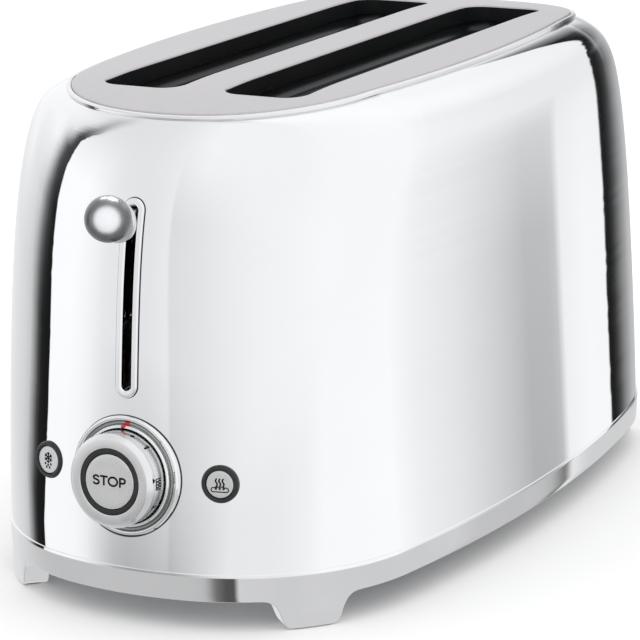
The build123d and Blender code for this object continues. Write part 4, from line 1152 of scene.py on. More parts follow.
    # window: rounded edge and a short sleeve into the casting
    rows = []
    hw = win.copy()
    hw[:, 0] += 4 * Q
    for k in range(1, 5):
        w = math.pi / 2 * k / 4
        pp = hw - wn * 0.5 * (1 - math.sin(w))
        rows.append(pos(pp[:, 0], pp[:, 1], 0.5 * (1 - math.cos(w)), False))
    rows.append(pos(hw[:, 0], hw[:, 1], 3.0, False))
    pz = hw[:, 1]
    th_w = angle(hw[:, 0])
    rows.append(np.column_stack(list(plan((a - 3.35, b - 3.35, re - 3.35, rs - 3.35, rc - 3.35), th_w)) + [pz]))
    strip(hol, rows)
    return np.concatenate(V), F


v, f = build_casting()
f = [q for q in f if len(set(q)) == len(q)]
base = make("base_casting", v, f, M["skirt"], slot="base_grey", nodes=("base_skirt",), recalc=True, sharp=40)


def build_pads():
    V, F, off = [], [], 0
    for sx in (1, -1):
        for sy in (1, -1):
            px, py = sx * FOOT_X, sy * (BCY + BASE[4] * math.sin(FT))
            nx, ny = sx * math.cos(FT), sy * math.sin(FT)
            tx, ty = -ny, nx
            rings = []
            for z, hw, d0, d1 in ((SOLE, 7.6, 2.6, 8.0), (SOLE, 8.0, 2.1, 8.6), (SOLE + 0.15, 8.4, 1.7, 9.0), (SOLE + PAD_H + 0.02, 8.9, 1.4, 9.2)):
                ring = round_rect(-hw, hw, d0, d1, 2.4, 6, 2.0)
                # follow the foot's curve
                r = []
                for u, d in ring:
                    sag = BASE[4] - math.sqrt(BASE[4] ** 2 - u * u)
                    r.append((px - nx * (d + sag * 0.95) + tx * u, py - ny * (d + sag * 0.95) + ty * u, z))
                rings.append(np.array(r))
            v, f = loops_mesh(rings, True)
            n_ = len(rings[0])
            p2 = round_rect(-7.6, 7.6, 2.4, 12.6, 2.4, 6, 2.0)
            c0 = rings[0].mean(0)
            c1 = rings[-1].mean(0)
            v = np.concatenate([v, [c0], [c1]])
            for i in range(n_):
                j = (i + 1) % n_
                f.append((len(v) - 2, j, i))
                f.append((len(v) - 1, 3 * n_ + i, 3 * n_ + j))
            V.append(v)
            F += [tuple(i + off for i in q) for q in f]
            off += len(v)
    return np.concatenate(V), F


v, f = build_pads()
make("sole_pads", v, f, M["rubber"], slot="foot_rubber", nodes=("foot_pads",), recalc=True, sharp=50)


# ------------------------------------------------------------------ trim around the lever slot
def build_trim():
    path = stadium(TRIM_W / 2, SLOT_BOT, SLOT_TOP, 28, 60)
    nrm = np.zeros_like(path)
    r = TRIM_W / 2
    for i, (y, z) in enumerate(path):
        zc = min(max(z, SLOT_BOT + r), SLOT_TOP - r)
        d = np.array([y, z - zc])
        nrm[i] = d / np.linalg.norm(d)
    prof = round_poly([(0.0, -0.2), (0.0, 0.95), (-0.5, 1.3), (-2.2, 1.3), (-2.9, 0.7), (-2.9, -5.0), (-1.3, -5.0), (-1.3, -0.2)],
                      [0, 0.5, 0.6, 0.6, 0.5, 0.1, 0.1, 0], 5)
    prof = [(u, h) for u, h in prof]
    rings = []
    for u, h in prof:
        q = path + nrm * u
        s, _n = end_wall(q[:, 0], q[:, 1], -1)
        s = s.copy()
        s[:, 0] -= h
        rings.append(s)
    return loops_mesh(rings, True, wrap=True)


v, f = build_trim()
make("slot_frame", v, f, M["chrome_trim"], slot="trim_chrome", nodes=("lever_slot_trim",), recalc=True, sharp=40)

def gap_shade_ring(name, path, nrm, lo, hi):
    # thin dark ring lying on the end wall along a closed path of (y, z) points: painted shade of the gap round a part
    rings = []
    for u, h in ((lo, -0.35), (lo, 0.16), ((lo + hi) / 2, 0.24), (hi, 0.16), (hi, -0.35)):
        q = path + nrm * u
        s, _n = end_wall(q[:, 0], q[:, 1], -1)
        s = s.copy()
        s[:, 0] -= h
        rings.append(s)
    v, f = loops_mesh(rings, True, wrap=True)
    make(name, v, f, M["rubber"], slot="dark_ring", recalc=True, sharp=40)


def gap_shade_paths():
    p = stadium(TRIM_W / 2, SLOT_BOT, SLOT_TOP, 28, 60)
    r = TRIM_W / 2
    zc = np.clip(p[:, 1], SLOT_BOT + r, SLOT_TOP - r)
    n = np.column_stack([p[:, 0], p[:, 1] - zc])
    n /= np.linalg.norm(n, axis=1, keepdims=True)
    a = np.linspace(0, 2 * math.pi, 181)[:-1]
    c = DIAL.at(0, 0, 0).reshape(3)
    m = np.column_stack([np.cos(a), np.sin(a)])
    return (p, n), (np.column_stack([c[1] + 24.65 * m[:, 0], c[2] + 24.65 * m[:, 1]]), m)


# painted shade of the gaps round the lever slot's trim and round the dial's surround
(sp, sn), (dp, dn) = gap_shade_paths()
gap_shade_ring("slot_gap_shade", sp, sn, -0.4, 0.3)
gap_shade_ring("dial_gap_shade", dp, dn, -0.4, 0.34)

# ------------------------------------------------------------------ lever ball and collar
BALL = Axes((BALL_X, 0, BALL_Z), (0, -1, 0), (-1, 0, 0))
prof = [(0, -6.9), (5.6, -6.9)]
a0 = math.acos(-6.9 / BALL_R)
prof += [(BALL_R * math.sin(a), BALL_R * math.cos(a)) for a in np.linspace(a0 - 0.02, 0.02, 60)]
prof += [(0, BALL_R)]
ball = lathe("lever_ball", BALL, prof, M["ball"], n=120, body="carriage", slot="trim_chrome", nodes=("lever_knob",), sharp=50)
prof = round_poly([(2.0, -4.9), (8.7, -4.9), (8.7, -7.4), (2.0, -7.4)], [0.2, 0.6, 0.5, 0.2], 6)
collar = lathe("ball_collar", Axes((BALL_X, 0, BALL_Z - 2.2), (0, -1, 0), (-1, 0, 0)), prof, M["collar"], n=120, body="carriage",
               slot="trim_chrome", nodes=("lever_collar",), sharp=50)
for o in (ball, collar):
    o.visible_glossy = False
    o.visible_diffuse = False


# ------------------------------------------------------------------ dial
bez = round_poly([(19.75, -3.4), (24.65, -3.4), (24.65, 1.35), (24.1, 2.1), (23.0, 2.1), (22.5, 1.15), (21.9, 0.75), (21.2, 1.1),
                  (20.85, 2.5), (20.4, 3.0), (19.75, 2.8)], [0, 0.1, 0.5, 0.55, 0.4, 0.7, 0.7, 0.7, 0.5, 0.3, 0.2], 5)
lathe("dial_surround", DIAL, bez, M["chrome_trim"], n=180, slot="trim_chrome", nodes=("dial_bezel",), sharp=50)
kn = round_poly([(19.2, -1.6), (19.15, 9.9), (18.85, 9.98), (18.85, 10.3), (19.3, 10.4), (19.3, 12.0), (17.5, 13.75), (13.75, 13.85), (13.55, 13.4),
                 (13.5, 10.0), (6.0, 9.2), (6.0, -1.6)], [0.3, 0.06, 0.03, 0.03, 0.1, 1.1, 1.0, 0.2, 0.1, 0.1, 0.1, 0.2], 6)
# darker grey ring laid in the surround's groove: painted shade of the hollow
gr = [(21.0, 1.75), (21.25, 1.15), (21.55, 0.93), (21.9, 0.86), (22.25, 1.0), (22.55, 1.35), (22.75, 1.75), (22.75, 1.2), (22.4, 0.6), (21.9, 0.45),
      (21.3, 0.6), (21.0, 1.2)]
lathe("dial_groove", DIAL, gr, M["groove_shade"], n=180, slot="trim_chrome", sharp=50)
knob = lathe("browning_dial", DIAL, kn, M["knob"], n=200, body="dial", slot="knob_silver", nodes=("dial_knob",), sharp=50)
rg = round_poly([(11.5, 9.3), (13.45, 9.3), (13.45, 13.5), (11.5, 13.5)], [0.1, 0.1, 0.25, 0.25], 4)
lathe("dial_inner_ring", DIAL, rg, M["dark_ring"], n=160, body="dial", slot="dark_ring", nodes=("stop_ring",), sharp=50)
cp = [(0, 11.0), (10.7, 11.0), (11.1, 11.2), (11.2, 11.6), (11.2, 13.2)] + \
     [(10.8 + 0.4 * math.cos(a), 13.25 + 0.42 * math.sin(a)) for a in np.linspace(0, math.pi / 2, 6)] + \
     [(9.0, 13.69), (6.0, 13.71), (3.0, 13.72), (0, 13.72)]
lathe("stop_cap", DIAL, cp, M["cap"], n=160, body="stop", slot="button_light", nodes=("stop_button",), sharp=50)

# ------------------------------------------------------------------ side buttons
for s, nm in ((1, "defrost"), (-1, "reheat")):
    ax = BTN[s]
    rb = round_poly([(5.95, -3.6), (7.75, -3.6), (7.75, 0.7), (7.1, 1.6), (6.35, 1.6), (5.95, 1.15)], [0, 0, 0.6, 0.5, 0.3, 0.3], 5)
    lathe(nm + "_surround", ax, rb, M["dark_ring"], n=120, slot="dark_ring", nodes=(nm + "_ring",), sharp=50)
    cb = [(0, -5.2), (1.8, -5.2), (1.8, -2.3), (5.4, -2.3), (5.65, -2.1), (5.65, 0.7)] + \
         [(5.3 + 0.35 * math.cos(a), 0.75 + 0.35 * math.sin(a)) for a in np.linspace(0, math.pi / 2, 6)] + \
         [(4.0, 1.12), (2.0, 1.13), (0, 1.13)]
    lathe(nm + "_cap", ax, cb, M["cap"], n=120, body=nm, slot="button_light", nodes=(nm + "_button",), sharp=50)


# ------------------------------------------------------------------ printed marks as thin raised strokes
def stroke(pts, w, closed=False, w1=None):
    # Outline of a line of width w through pts with round ends; returns outer loop and hole loops.
    p = np.array(pts, float)
    n = len(p)
    if closed:
        t = np.roll(p, -1, 0) - np.roll(p, 1, 0)
    else:
        t = np.gradient(p, axis=0)
    t /= np.maximum(np.linalg.norm(t, axis=1, keepdims=True), 1e-9)
    m = np.stack([-t[:, 1], t[:, 0]], -1)
    ww = np.linspace(w, w if w1 is None else w1, n)[:, None] / 2
    lf, rt = p + m * ww, p - m * ww
    if closed:
        def size(q):
            return abs((q[:, 0] * np.roll(q[:, 1], -1) - np.roll(q[:, 0], -1) * q[:, 1]).sum())
        return (lf, [rt]) if size(lf) > size(rt) else (rt, [lf])
    c = []
    a1 = math.atan2(m[-1][1], m[-1][0])
    for k in range(1, 8):
        a = a1 - math.pi * k / 8
        c.append(p[-1] + ww[-1] * np.array([math.cos(a), math.sin(a)]))
    a0 = math.atan2(-m[0][1], -m[0][0])
    d = []
    for k in range(1, 8):
        a = a0 - math.pi * k / 8
        d.append(p[0] + ww[0] * np.array([math.cos(a), math.sin(a)]))
    return np.concatenate([lf, np.array(c), rt[::-1], np.array(d)]), []


def arc(cx, cy, rx, ry, a0, a1, n=14):
    t = np.radians(np.linspace(a0, a1, n))
    return [(cx + rx * math.cos(k), cy + ry * math.sin(k)) for k in t]


def dense(pts, step=0.25):
    out = []
    for (a, b), (c, d) in zip(pts[:-1], pts[1:]):
        m = max(int(math.hypot(c - a, d - b) / step), 1)
        out += [(a + (c - a) * i / m, b + (d - b) * i / m) for i in range(m)]
    return out + [pts[-1]]


def prisms(name, shapes, where, h0, h1, m, **kw):
    # shapes: list of (outer, holes) in the plane; where(x, y, h) -> points
    V, F, off = [], [], 0
    for outer, holes in shapes:
        outer = np.asarray(outer, float)
        x, y = outer[:, 0], outer[:, 1]
        if (x * np.roll(y, -1) - np.roll(x, -1) * y).sum() < 0:
            outer = outer[::-1]
        pts, tri = fill(outer, holes)
        k = len(pts)
        V.append(where(pts[:, 0], pts[:, 1], np.full(k, h1)))
        V.append(where(pts[:, 0], pts[:, 1], np.full(k, h0)))
        F += [tuple(off + i for i in t) for t in tri.tolist()]
        F += [tuple(off + k + i for i in t[::-1]) for t in tri.tolist()]
        o = 0
        for lp in [outer] + list(holes):
            c = len(lp)
            for i in range(c):
                j = (i + 1) % c
                F.append((off + o + i, off + o + j, off + k + o + j, off + k + o + i))
            o += c
        off += 2 * k
    return make(name, np.concatenate(V), F, m, recalc=True, sharp=40, **kw)


def letters_stop():
    w = 0.82
    s = []
    # S
    cx = -6.05
    up = arc(cx, 0.94, 1.13, 0.76, 28, 270, 22)
    dn = arc(cx, -0.86, 1.24, 0.90, 90, -152, 22)
    s.append(stroke(up[:-1] + [(cx, 0.12)] + dn[2:], w))
    # T
    s.append(stroke(dense([(-3.95, 1.70), (-1.15, 1.70)]), w))
    s.append(stroke(dense([(-2.55, 1.70), (-2.55, -1.72)]), w))
    # O
    s.append(stroke(arc(1.55, 0.0, 1.98, 1.74, 0, 360, 49)[:-1], w, True))
    # P
    s.append(stroke(dense([(4.75, -1.72), (4.75, 1.72)]), w))
    s.append(stroke(dense([(4.75, 1.70), (5.9, 1.70)], 0.2) + arc(5.95, 0.74, 1.1, 0.96, 88, -88, 16) + dense([(5.9, -0.22), (4.75, -0.22)], 0.2), w))
    return s


prisms("stop_word", [(np.array(o) * [1.03, 1.0] + [0.1, 0.3], [np.array(h) * [1.03, 1.0] + [0.1, 0.3] for h in hs]) for o, hs in letters_stop()],
       DIAL.at, 13.6, 13.76, M["ink"], body="stop", slot="part_black")


def on_drum(r):
    # (x, y): x = angle clockwise from the top in degrees, y = height along the dial's axis
    def w(x, y, h):
        a = np.radians(90.0 - np.asarray(x, float))
        return DIAL.at((r + h) * np.cos(a), (r + h) * np.sin(a), y)
    return w


def drum_shape(shape, at, size, turn=0.0):
    # icon in millimetres set on the drum: icon's x runs around it, icon's y runs outwards
    k = 180 / math.pi / 19.0
    res = []
    c, s = math.cos(turn), math.sin(turn)
    for o, hs in shape:
        def cv(q):
            q = np.asarray(q, float) * size
            q = np.stack([q[:, 0] * c + q[:, 1] * s, q[:, 0] * s - q[:, 1] * c], -1)
            return np.stack([at[0] + q[:, 0] * k, at[1] + q[:, 1]], -1)
        res.append((cv(o), [cv(h) for h in hs]))
    return res


def blob(x, y, rx, ry, n=20, turn=0.0):
    t = np.linspace(0, 2 * math.pi, n, endpoint=False)
    c, s = math.cos(turn), math.sin(turn)
    px, py = rx * np.cos(t), ry * np.sin(t)
    return np.stack([x + px * c - py * s, y + px * s + py * c], -1), []


def wave(x, y0, y1, amp, n=18):
    t = np.linspace(0, 1, n)
    return [(x + amp * math.sin(2 * math.pi * k * 1.0), y0 + (y1 - y0) * k) for k in t]


drum = on_drum(19.16)
marks = []
marks += drum_shape([blob(0, 0, 1.0, 1.0)], (19.3, 6.6), 1.0)
one = [stroke(dense([(0.0, 1.6), (0.0, -1.6)]), 0.8), stroke(dense([(0.0, 1.6), (-1.0, 0.9)]), 0.7)]
marks += drum_shape(one, (42.5, 6.5), 1.0)
heat = [stroke(wave(k * 1.15, -1.35, 1.5, 0.3), 0.62) for k in (-1, 0, 1)]
heat += [stroke(dense([(-2.15, -1.5), (-2.15, 1.5)]), 0.42), stroke(dense([(2.15, -1.5), (2.15, 1.5)]), 0.42), stroke(dense([(-2.15, -1.8), (2.15, -1.8)]), 0.42)]
marks += drum_shape(heat, (89.0, 7.4), 1.0)
two = [stroke(arc(0, 0.62, 0.7, 0.6, 160, -40, 12) + dense([(0.35, 0.0), (-0.75, -1.15)]), 0.42), stroke(dense([(-0.75, -1.2), (0.8, -1.2)]), 0.42)]
marks += drum_shape(two, (120.0, 6.5), 1.0)
for k, at in enumerate((150.0, 180.0, 210.0, 240.0, 270.0, 300.0)):
    marks += drum_shape([stroke(dense([(0, -0.9 - 0.1 * k), (0, 0.9 + 0.1 * k)]), 0.45)], (at, 6.6), 1.0)
prisms("dial_figures", marks, lambda x, y, h: drum(x, y, h), -0.1, 0.1, M["ink"], body="dial", slot="part_black")
# pointed notch at the dial's front edge
edge = drum_shape([([(-1.3, -0.9), (1.3, -0.9), (0.3, 1.1), (-0.3, 1.1)], [])], (83.0, 11.2), 0.8)
prisms("dial_pointer", [(dense([tuple(p) for p in o] + [tuple(o[0])], 0.4)[:-1], h) for o, h in edge],
       on_drum(19.3), -0.1, 0.06, M["ink"], body="dial", slot="part_black")

# snowflake over drops
fl = []
for k in range(3):
    a = math.radians(90 + 60 * k)
    fl.append(stroke(dense([(2.05 * math.cos(a), 0.9 + 2.05 * math.sin(a)), (-2.05 * math.cos(a), 0.9 - 2.05 * math.sin(a))]), 0.58))
for k in range(6):
    a = math.radians(90 + 60 * k)
    for d in (-1, 1):
        b = a + d * 0.72
        c = (1.15 * math.cos(a), 0.9 + 1.15 * math.sin(a))
        fl.append(stroke(dense([c, (c[0] + 0.85 * math.cos(b), c[1] + 0.85 * math.sin(b))]), 0.48))
for x, y in ((-1.6, -1.75), (0.0, -2.1), (1.6, -1.75), (-0.8, -3.1), (0.85, -3.15)):
    fl.append(blob(x, y, 0.42, 0.56))
prisms("defrost_sign", fl, BTN[1].at, 1.05, 1.2, M["ink"], body="defrost", slot="part_black")

# three rising waves over a flat loaf
lf = [stroke(wave(k * 1.4, -0.7, 2.2, 0.34, 22), 0.66) for k in (-1, 0, 1)]
loaf = arc(-2.75, -2.2, 0.85, 0.85, 90, 270, 10) + dense([(-2.75, -3.05), (2.75, -3.05)], 0.4)[1:-1] + arc(2.75, -2.2, 0.85, 0.85, -90, 90, 10)
loaf += [(x, -1.35 + 0.3 * math.cos(x / 2.75 * math.pi / 2)) for x in np.linspace(2.5, -2.5, 18)]
lf.append(stroke(loaf, 0.44, True))
for x in (-1.6, 0.0, 1.6):
    lf.append(blob(x, -1.75, 0.55, 0.4, 16, 0.3))
prisms("reheat_sign", [(np.array(o), [np.array(h) for h in hs]) for o, hs in lf], BTN[-1].at, 1.05, 1.2, M["ink"],
       body="reheat", slot="part_black")

# red index: a leaning drop laid over the steps of the dial's surround
def build_index():
    rr, hh = [19.7, 19.85, 20.4, 20.85, 21.2, 21.9, 22.5, 23.0, 24.1], [2.5, 2.8, 3.0, 2.5, 1.1, 0.85, 1.2, 2.1, 2.1]
    ts = np.linspace(0, 1, 22)
    a, b = np.array([1.4, 22.8]), np.array([-1.0, 19.9])
    run = (b - a) / np.linalg.norm(b - a)
    side_ = np.array([-run[1], run[0]])
    rings = []
    for t in ts:
        hw = 1.0 * math.sqrt(max(1 - abs(2 * t - 1) ** 3.2, 0.03)) * (0.85 + 0.3 * t)
        c = a + (b - a) * t
        up, dn = [], []
        for k in np.linspace(-1, 1, 7):
            q = c + side_ * hw * k
            h = float(np.interp(math.hypot(*q), rr, hh))
            up.append(DIAL.at(q[0], q[1], h + 0.16 * (1 - 0.5 * k * k)).reshape(3))
            dn.append(DIAL.at(q[0], q[1], h - 0.35).reshape(3))
        rings.append(np.array(up + dn[::-1]))
    return loops_mesh(rings, True, cap0=True, cap1=True)


v, f = build_index()
make("index_mark", v, f, M["red"], slot="index_red", nodes=("dial_mark",), recalc=True, sharp=50)


# ------------------------------------------------------------------ inside the slots
def build_liners():
    V, F, off = [], [], 0
    for s in (1, -1):
        rings = []
        for d, z in ((1.25, 198.3), (1.25, 196.4), (0.9, 194.9), (0.2, 193.7), (-0.9, 193.15), (-2.0, 193.0), (-2.45, 192.7),
                     (-2.2, 192.35), (-1.2, 192.45), (0.6, 193.0), (1.5, 194.2), (1.95, 196.2), (1.95, 198.3)):
            p = slot_loop(s, d)
            rings.append(np.column_stack([p, np.full(len(p), z) - 0.0]))
        v, f = loops_mesh(rings, True, wrap=True)
        V.append(v)
        F += [tuple(i + off for i in q) for q in f]
        off += len(v)
    return np.concatenate(V), F


v, f = build_liners()
make("slot_funnels", v, f, M["liner"], slot="liner_dark", nodes=("slot_liners",), recalc=True, sharp=40)


def tube(path, r, n=10, closed=False):
    p = np.array(path, float)
    t = np.roll(p, -1, 0) - np.roll(p, 1, 0) if closed else np.gradient(p, axis=0)
    t /= np.linalg.norm(t, axis=1, keepdims=True)
    up = np.array([0, 0, 1.0]) if abs(t[0][2]) < 0.9 else np.array([0, 1.0, 0])
    rings = []
    a = np.linspace(0, 2 * math.pi, n, endpoint=False)
    for q, k in zip(p, t):
        if abs(k @ up) > 0.98:
            u = np.cross(k, [1.0, 0, 0])
        else:
            u = np.cross(k, up)
        u /= np.linalg.norm(u)
        w = np.cross(u, k)
        rings.append(q + r * (np.cos(a)[:, None] * u + np.sin(a)[:, None] * w))
    return loops_mesh(rings, True, cap0=not closed, cap1=not closed, wrap=closed)


def join(parts):
    V, F, off = [], [], 0
    for v, f in parts:
        V.append(v)
        F += [tuple(i + off for i in q) for q in f]
        off += len(v)
    return np.concatenate(V), F


def guide(y, inward):
    # Wire grid: straight upright wires, a top rail whose ends turn inwards.
    parts = []
    top, bot = 189.0, 50.0
    for i in range(13):
        x = -114 + i * 19.0
        parts.append(tube([(x, y, bot), (x, y, 97.0), (x, y, 144.0), (x, y, top)], 1.0, 10))
    e = 4.5
    rail = [(-115 - e * math.sin(a), y + inward * e * (1 - math.cos(a)), top) for a in np.linspace(math.pi / 2, 0, 7)]
    rail += [(x, y, top) for x in np.linspace(-114, 114, 24)]
    rail += [(115 + e * math.sin(a), y + inward * e * (1 - math.cos(a)), top) for a in np.linspace(0, math.pi / 2, 7)]
    parts.append(tube(rail, 1.3, 12))
    parts.append(tube([(x, y, bot) for x in np.linspace(-115, 115, 12)], 1.3, 12))
    for z in (97.0, 144.0):
        parts.append(tube([(x, y, z) for x in np.linspace(-134, 134, 16)], 1.3, 12))
    return join(parts)


for nm, y, k in (("outer_left", 55.4, -1), ("inner_left", 8.7, 1), ("inner_right", -8.7, -1), ("outer_right", -55.4, 1)):
    v, f = guide(y, k)
    make("grid_" + nm, v, f, M["wire"], body="guide_" + nm, slot="wire_bright", nodes=("bread_guide_" + nm,), recalc=True, sharp=50)


# ------------------------------------------------------------------ crumb tray's handle, mains inlet
def build_handle():
    a, b, re, rs, rc = BASE
    ys = np.linspace(-59.4, 59.4, 61)

    def face(ins, y):
        d = (a - ins, b - ins, re - ins, rs - ins, rc - ins)
        c1x, c2y, cx, cy, t1, t2 = [float(k) for k in arcs(d)]
        ay = abs(y)
        q = math.asin(ay / d[2]) if ay <= d[2] * math.sin(t1) else math.asin((ay - cy) / d[4])
        return float(plan(d, np.array(q))[0])

    prof = round_poly([(0.9, 14.2), (4.0, 14.2), (4.0, 21.8), (0.9, 21.8)], [0.2, 1.1, 1.1, 0.2], 5)
    rings = []
    for y in ys:
        e = min(1.0, (60.0 - abs(y)) / 1.6)
        k = math.sqrt(max(1 - (1 - e) ** 2, 0.0))
        cz_ = 18.0
        rings.append(np.array([(face(-(0.9 + (o - 0.9) * (0.35 + 0.65 * k)), y), y, cz_ + (z - cz_) * (0.86 + 0.14 * k)) for o, z in prof]))
    v1, f1 = loops_mesh(rings, True, cap0=True, cap1=True)
    # finger grip
    p = round_rect(BASE[0] + 3.0, 200.2, -20, 20, 3.0, 8, 2.0)
    c = p.mean(0)
    rr = []
    for z, k in ((16.0, 0.94), (16.15, 0.975), (16.6, 1.0), (17.6, 1.0), (18.05, 0.975), (18.2, 0.94)):
        rr.append(np.column_stack([c[0] + (p[:, 0] - c[0]) * k, c[1] + (p[:, 1] - c[1]) * (0.99 + 0.01 * k), np.full(len(p), z)]))
    v2, f2 = loops_mesh(rr, True, cap0=True, cap1=True)
    return join([(v1, f1), (v2, f2)])


v, f = build_handle()
make("tray_handle", v, f, M["skirt"], body="tray", slot="base_grey", nodes=("crumb_tray_handle",), recalc=True, sharp=40)
gl = round_poly([(3.6, -9.0), (6.0, -9.0), (6.6, -1.25), (6.6, 0.1), (9.0, 0.1), (9.0, 2.2), (6.0, 5.0), (4.6, 5.4), (3.6, 5.4)],
                [0.2, 0.2, 0, 0, 0.1, 0.8, 0.8, 0.3, 0.6], 5)
lathe("mains_inlet", INLET, gl, M["black"], n=96, slot="part_black", nodes=("cord_inlet",), sharp=50)

# ------------------------------------------------------------------ floor
def studio_floor():
    n = 41
    g = np.linspace(-1, 1, n)
    g = np.sign(g) * np.abs(g) ** 2.0 * 3000.0
    v = np.array([(x, y, 0.0) for y in g for x in g])
    f = [(j * n + i, j * n + i + 1, (j + 1) * n + i + 1, (j + 1) * n + i) for j in range(n - 1) for i in range(n - 1)]
    me = bpy.data.meshes.new("studio_floor")
    me.from_pydata((v * 0.001).tolist(), [], f)
    me.materials.append(material("floor", (0.86, 0.86, 0.86), 0.0, (0.8, 0.9), 8, 0.004, spec=0.0))
    ob = bpy.data.objects.new("studio_floor", me)
    bpy.context.scene.collection.objects.link(ob)
    ob.visible_glossy = False


studio_floor()


# ------------------------------------------------------------------ studio: a white tent with two dark flags
def lin(v):
    v = v / 255.0
    return ((v + 0.055) / 1.055) ** 2.4 if v > 0.04045 else v / 12.92


def studio_world():
    w = bpy.data.worlds.new("studio")
    bpy.context.scene.world = w
    w.use_nodes = True
    t = Tree(w.node_tree)
    out = t.node("ShaderNodeOutputWorld")
    tc = t.node("ShaderNodeTexCoord")
    sep = t.node("ShaderNodeSeparateXYZ")
    t.link(tc.outputs["Generated"], sep.inputs[0])
    DEG = 57.29578
    phi = t.math("MULTIPLY", t.math("ARCTAN2", sep.outputs[1], sep.outputs[0]), DEG)
    el = t.math("MULTIPLY", t.math("ARCSINE", sep.outputs[2]), DEG)

    def curve(x, pts):
        return t.ramp(x, [(p, lin(q)) for p, q in pts])

    base = curve(phi, [(-180, 227), (-172, 233), (-164, 237), (-156, 240.5), (-148, 242.5), (-132, 245), (-110, 248), (-50, 248),
                       (-44, 244), (-36, 238), (-28, 235), (-12, 234), (12, 234), (20, 243), (35, 248), (60, 250), (104, 252),
                       (112, 253), (121, 253), (130, 245), (138, 232), (148, 228), (158, 228), (165.9, 234), (166.9, 220),
                       (174, 224), (180, 227)])
    high = curve(phi, [(-180, 244), (-132, 243), (-116, 247), (0, 253), (60, 250), (84, 230), (108, 221), (126, 224), (150, 228),
                       (162, 234), (174, 241), (180, 244)])
    base = t.mix(t.ramp(el, [(14, 0), (34, 0.85), (44, 1)]), base, high)
    # below the horizon the tent's floor: two grey sweeps, each with one sharp end
    low_a = curve(phi, [(-180, 203), (-172, 219), (-164, 231), (-138, 233), (-120, 240), (-108, 249), (-56, 251), (-48, 243),
                        (-40, 227), (-32, 196), (-28, 174), (-24, 176), (-22.5, 186), (-22.0, 238), (-16, 249), (-8, 246), (12, 205),
                        (24, 200), (40, 219), (60, 222), (90, 218), (106, 250), (126, 247), (132, 238), (138, 210), (144, 172),
                        (150, 154), (156, 156), (165.9, 168), (166.9, 160), (172, 180), (180, 203)])
    base = t.mix(t.ramp(el, [(-16.5, 1), (-11, 0.8), (-8, 0.25), (-5, 0)]), base, low_a)
    # left flag
    edge = t.ramp(el, [(-60, 0.48), (-18, 0.5), (-14, 0.514), (-12.5, 0.53), (-10, 0.548), (-8, 0.549), (-6.5, 0.546), (-4, 0.539),
                       (0, 0.5305), (6, 0.5195), (13, 0.5145), (18, 0.5185), (22, 0.5225), (26, 0.5425), (30, 0.5675), (38, 0.605), (42, 0.63),
                       (60, 0.675)])
    d = t.math("SUBTRACT", t.math("MULTIPLY", edge, 200.0), phi)
    lo = curve(d, [(0, 24), (4, 28), (7, 35), (10, 72), (13, 130), (19, 199), (25, 211), (31, 216), (43, 224), (60, 232)])
    md = curve(d, [(0, 28), (3, 38), (6, 66), (9, 112), (12, 165), (15, 203), (21, 221), (27, 228), (33, 234), (39, 244), (60, 249)])
    hi = curve(d, [(0, 58), (4, 68), (6, 86), (8, 135), (10, 180), (12, 215), (15, 240), (18, 247), (60, 248)])
    flag = t.mix(t.ramp(el, [(-7, 0), (2, 1)]), lo, md)
    flag = t.mix(t.ramp(el, [(4, 0), (14, 1)]), flag, hi)
    hi2 = curve(d, [(0, 58), (3, 80), (4.5, 130), (6, 185), (8.5, 229), (12, 240), (20, 246), (60, 248)])
    flag = t.mix(t.ramp(el, [(17, 0), (22, 1)]), flag, hi2)
    flag = t.mix(t.ramp(el, [(23, 0), (26, 0.08), (30, 0.33), (34, 0.54), (38, 0.66), (42, 0.85), (46, 1)]), flag, base)
    inside = t.math("MULTIPLY", t.ramp(d, [(0, 0), (0.5, 1)]), t.ramp(phi, [(14, 0), (30, 1)]))
    soft = t.math("MULTIPLY", t.ramp(d, [(-2, 0), (3, 1)]), t.ramp(phi, [(14, 0), (30, 1)]))
    inside = t.mix(t.ramp(el, [(24, 0), (36, 1)]), inside, soft)
    val = t.mix(inside, base, flag)
    # right flag
    top = t.ramp(phi, [(-14, 0.10), (-13, 0.14), (-12, 0.19), (-10, 0.25), (-5.5, 0.33), (0, 0.384), (6, 0.40), (14, 0.42), (17, 0.45), (60, 0.52)])
    side = t.ramp(el, [(-60, 0.56), (-14, 0.55), (-11, 0.545), (-9.5, 0.575), (-8.4, 0.61), (-6.9, 0.65), (-5.3, 0.68), (-1, 0.72), (2, 0.715), (6, 0.67), (12, 0.66), (60, 0.66)])
    s1 = t.math("ADD", phi, t.math("MULTIPLY", side, 20.0))
    s2 = t.math("MULTIPLY", t.math("SUBTRACT", t.math("MULTIPLY", top, 50.0), el), 1.5)
    s = t.math("MINIMUM", s1, s2)
    dark = curve(s, [(0, 34), (1, 32), (1.6, 38), (2.5, 54), (3.5, 68), (4.5, 84), (6, 115), (8, 134), (10, 145), (13, 155), (16, 167), (20, 175), (25, 186), (29, 210), (34, 244)])
    dlow = curve(s, [(0, 32), (0.8, 30), (1.5, 34), (2.5, 55), (3.5, 88), (4.5, 121), (6, 146), (8, 159), (10, 172), (13, 183), (16, 187), (25, 191), (30, 197), (40, 214)])
    dark = t.mix(t.ramp(el, [(-12, 1), (-5, 0)]), dark, dlow)
    far = t.mix(t.ramp(el, [(4, 0), (12, 1)]), t.ramp(phi, [(20, 1), (34, 0)]), t.ramp(phi, [(13, 1), (16, 0.75), (17.2, 0.35), (18.5, 0.1), (22, 0)]))
    k = t.math("MULTIPLY", t.ramp(s, [(0, 0), (0.4, 1)]), far)
    val = t.mix(k, val, dark)
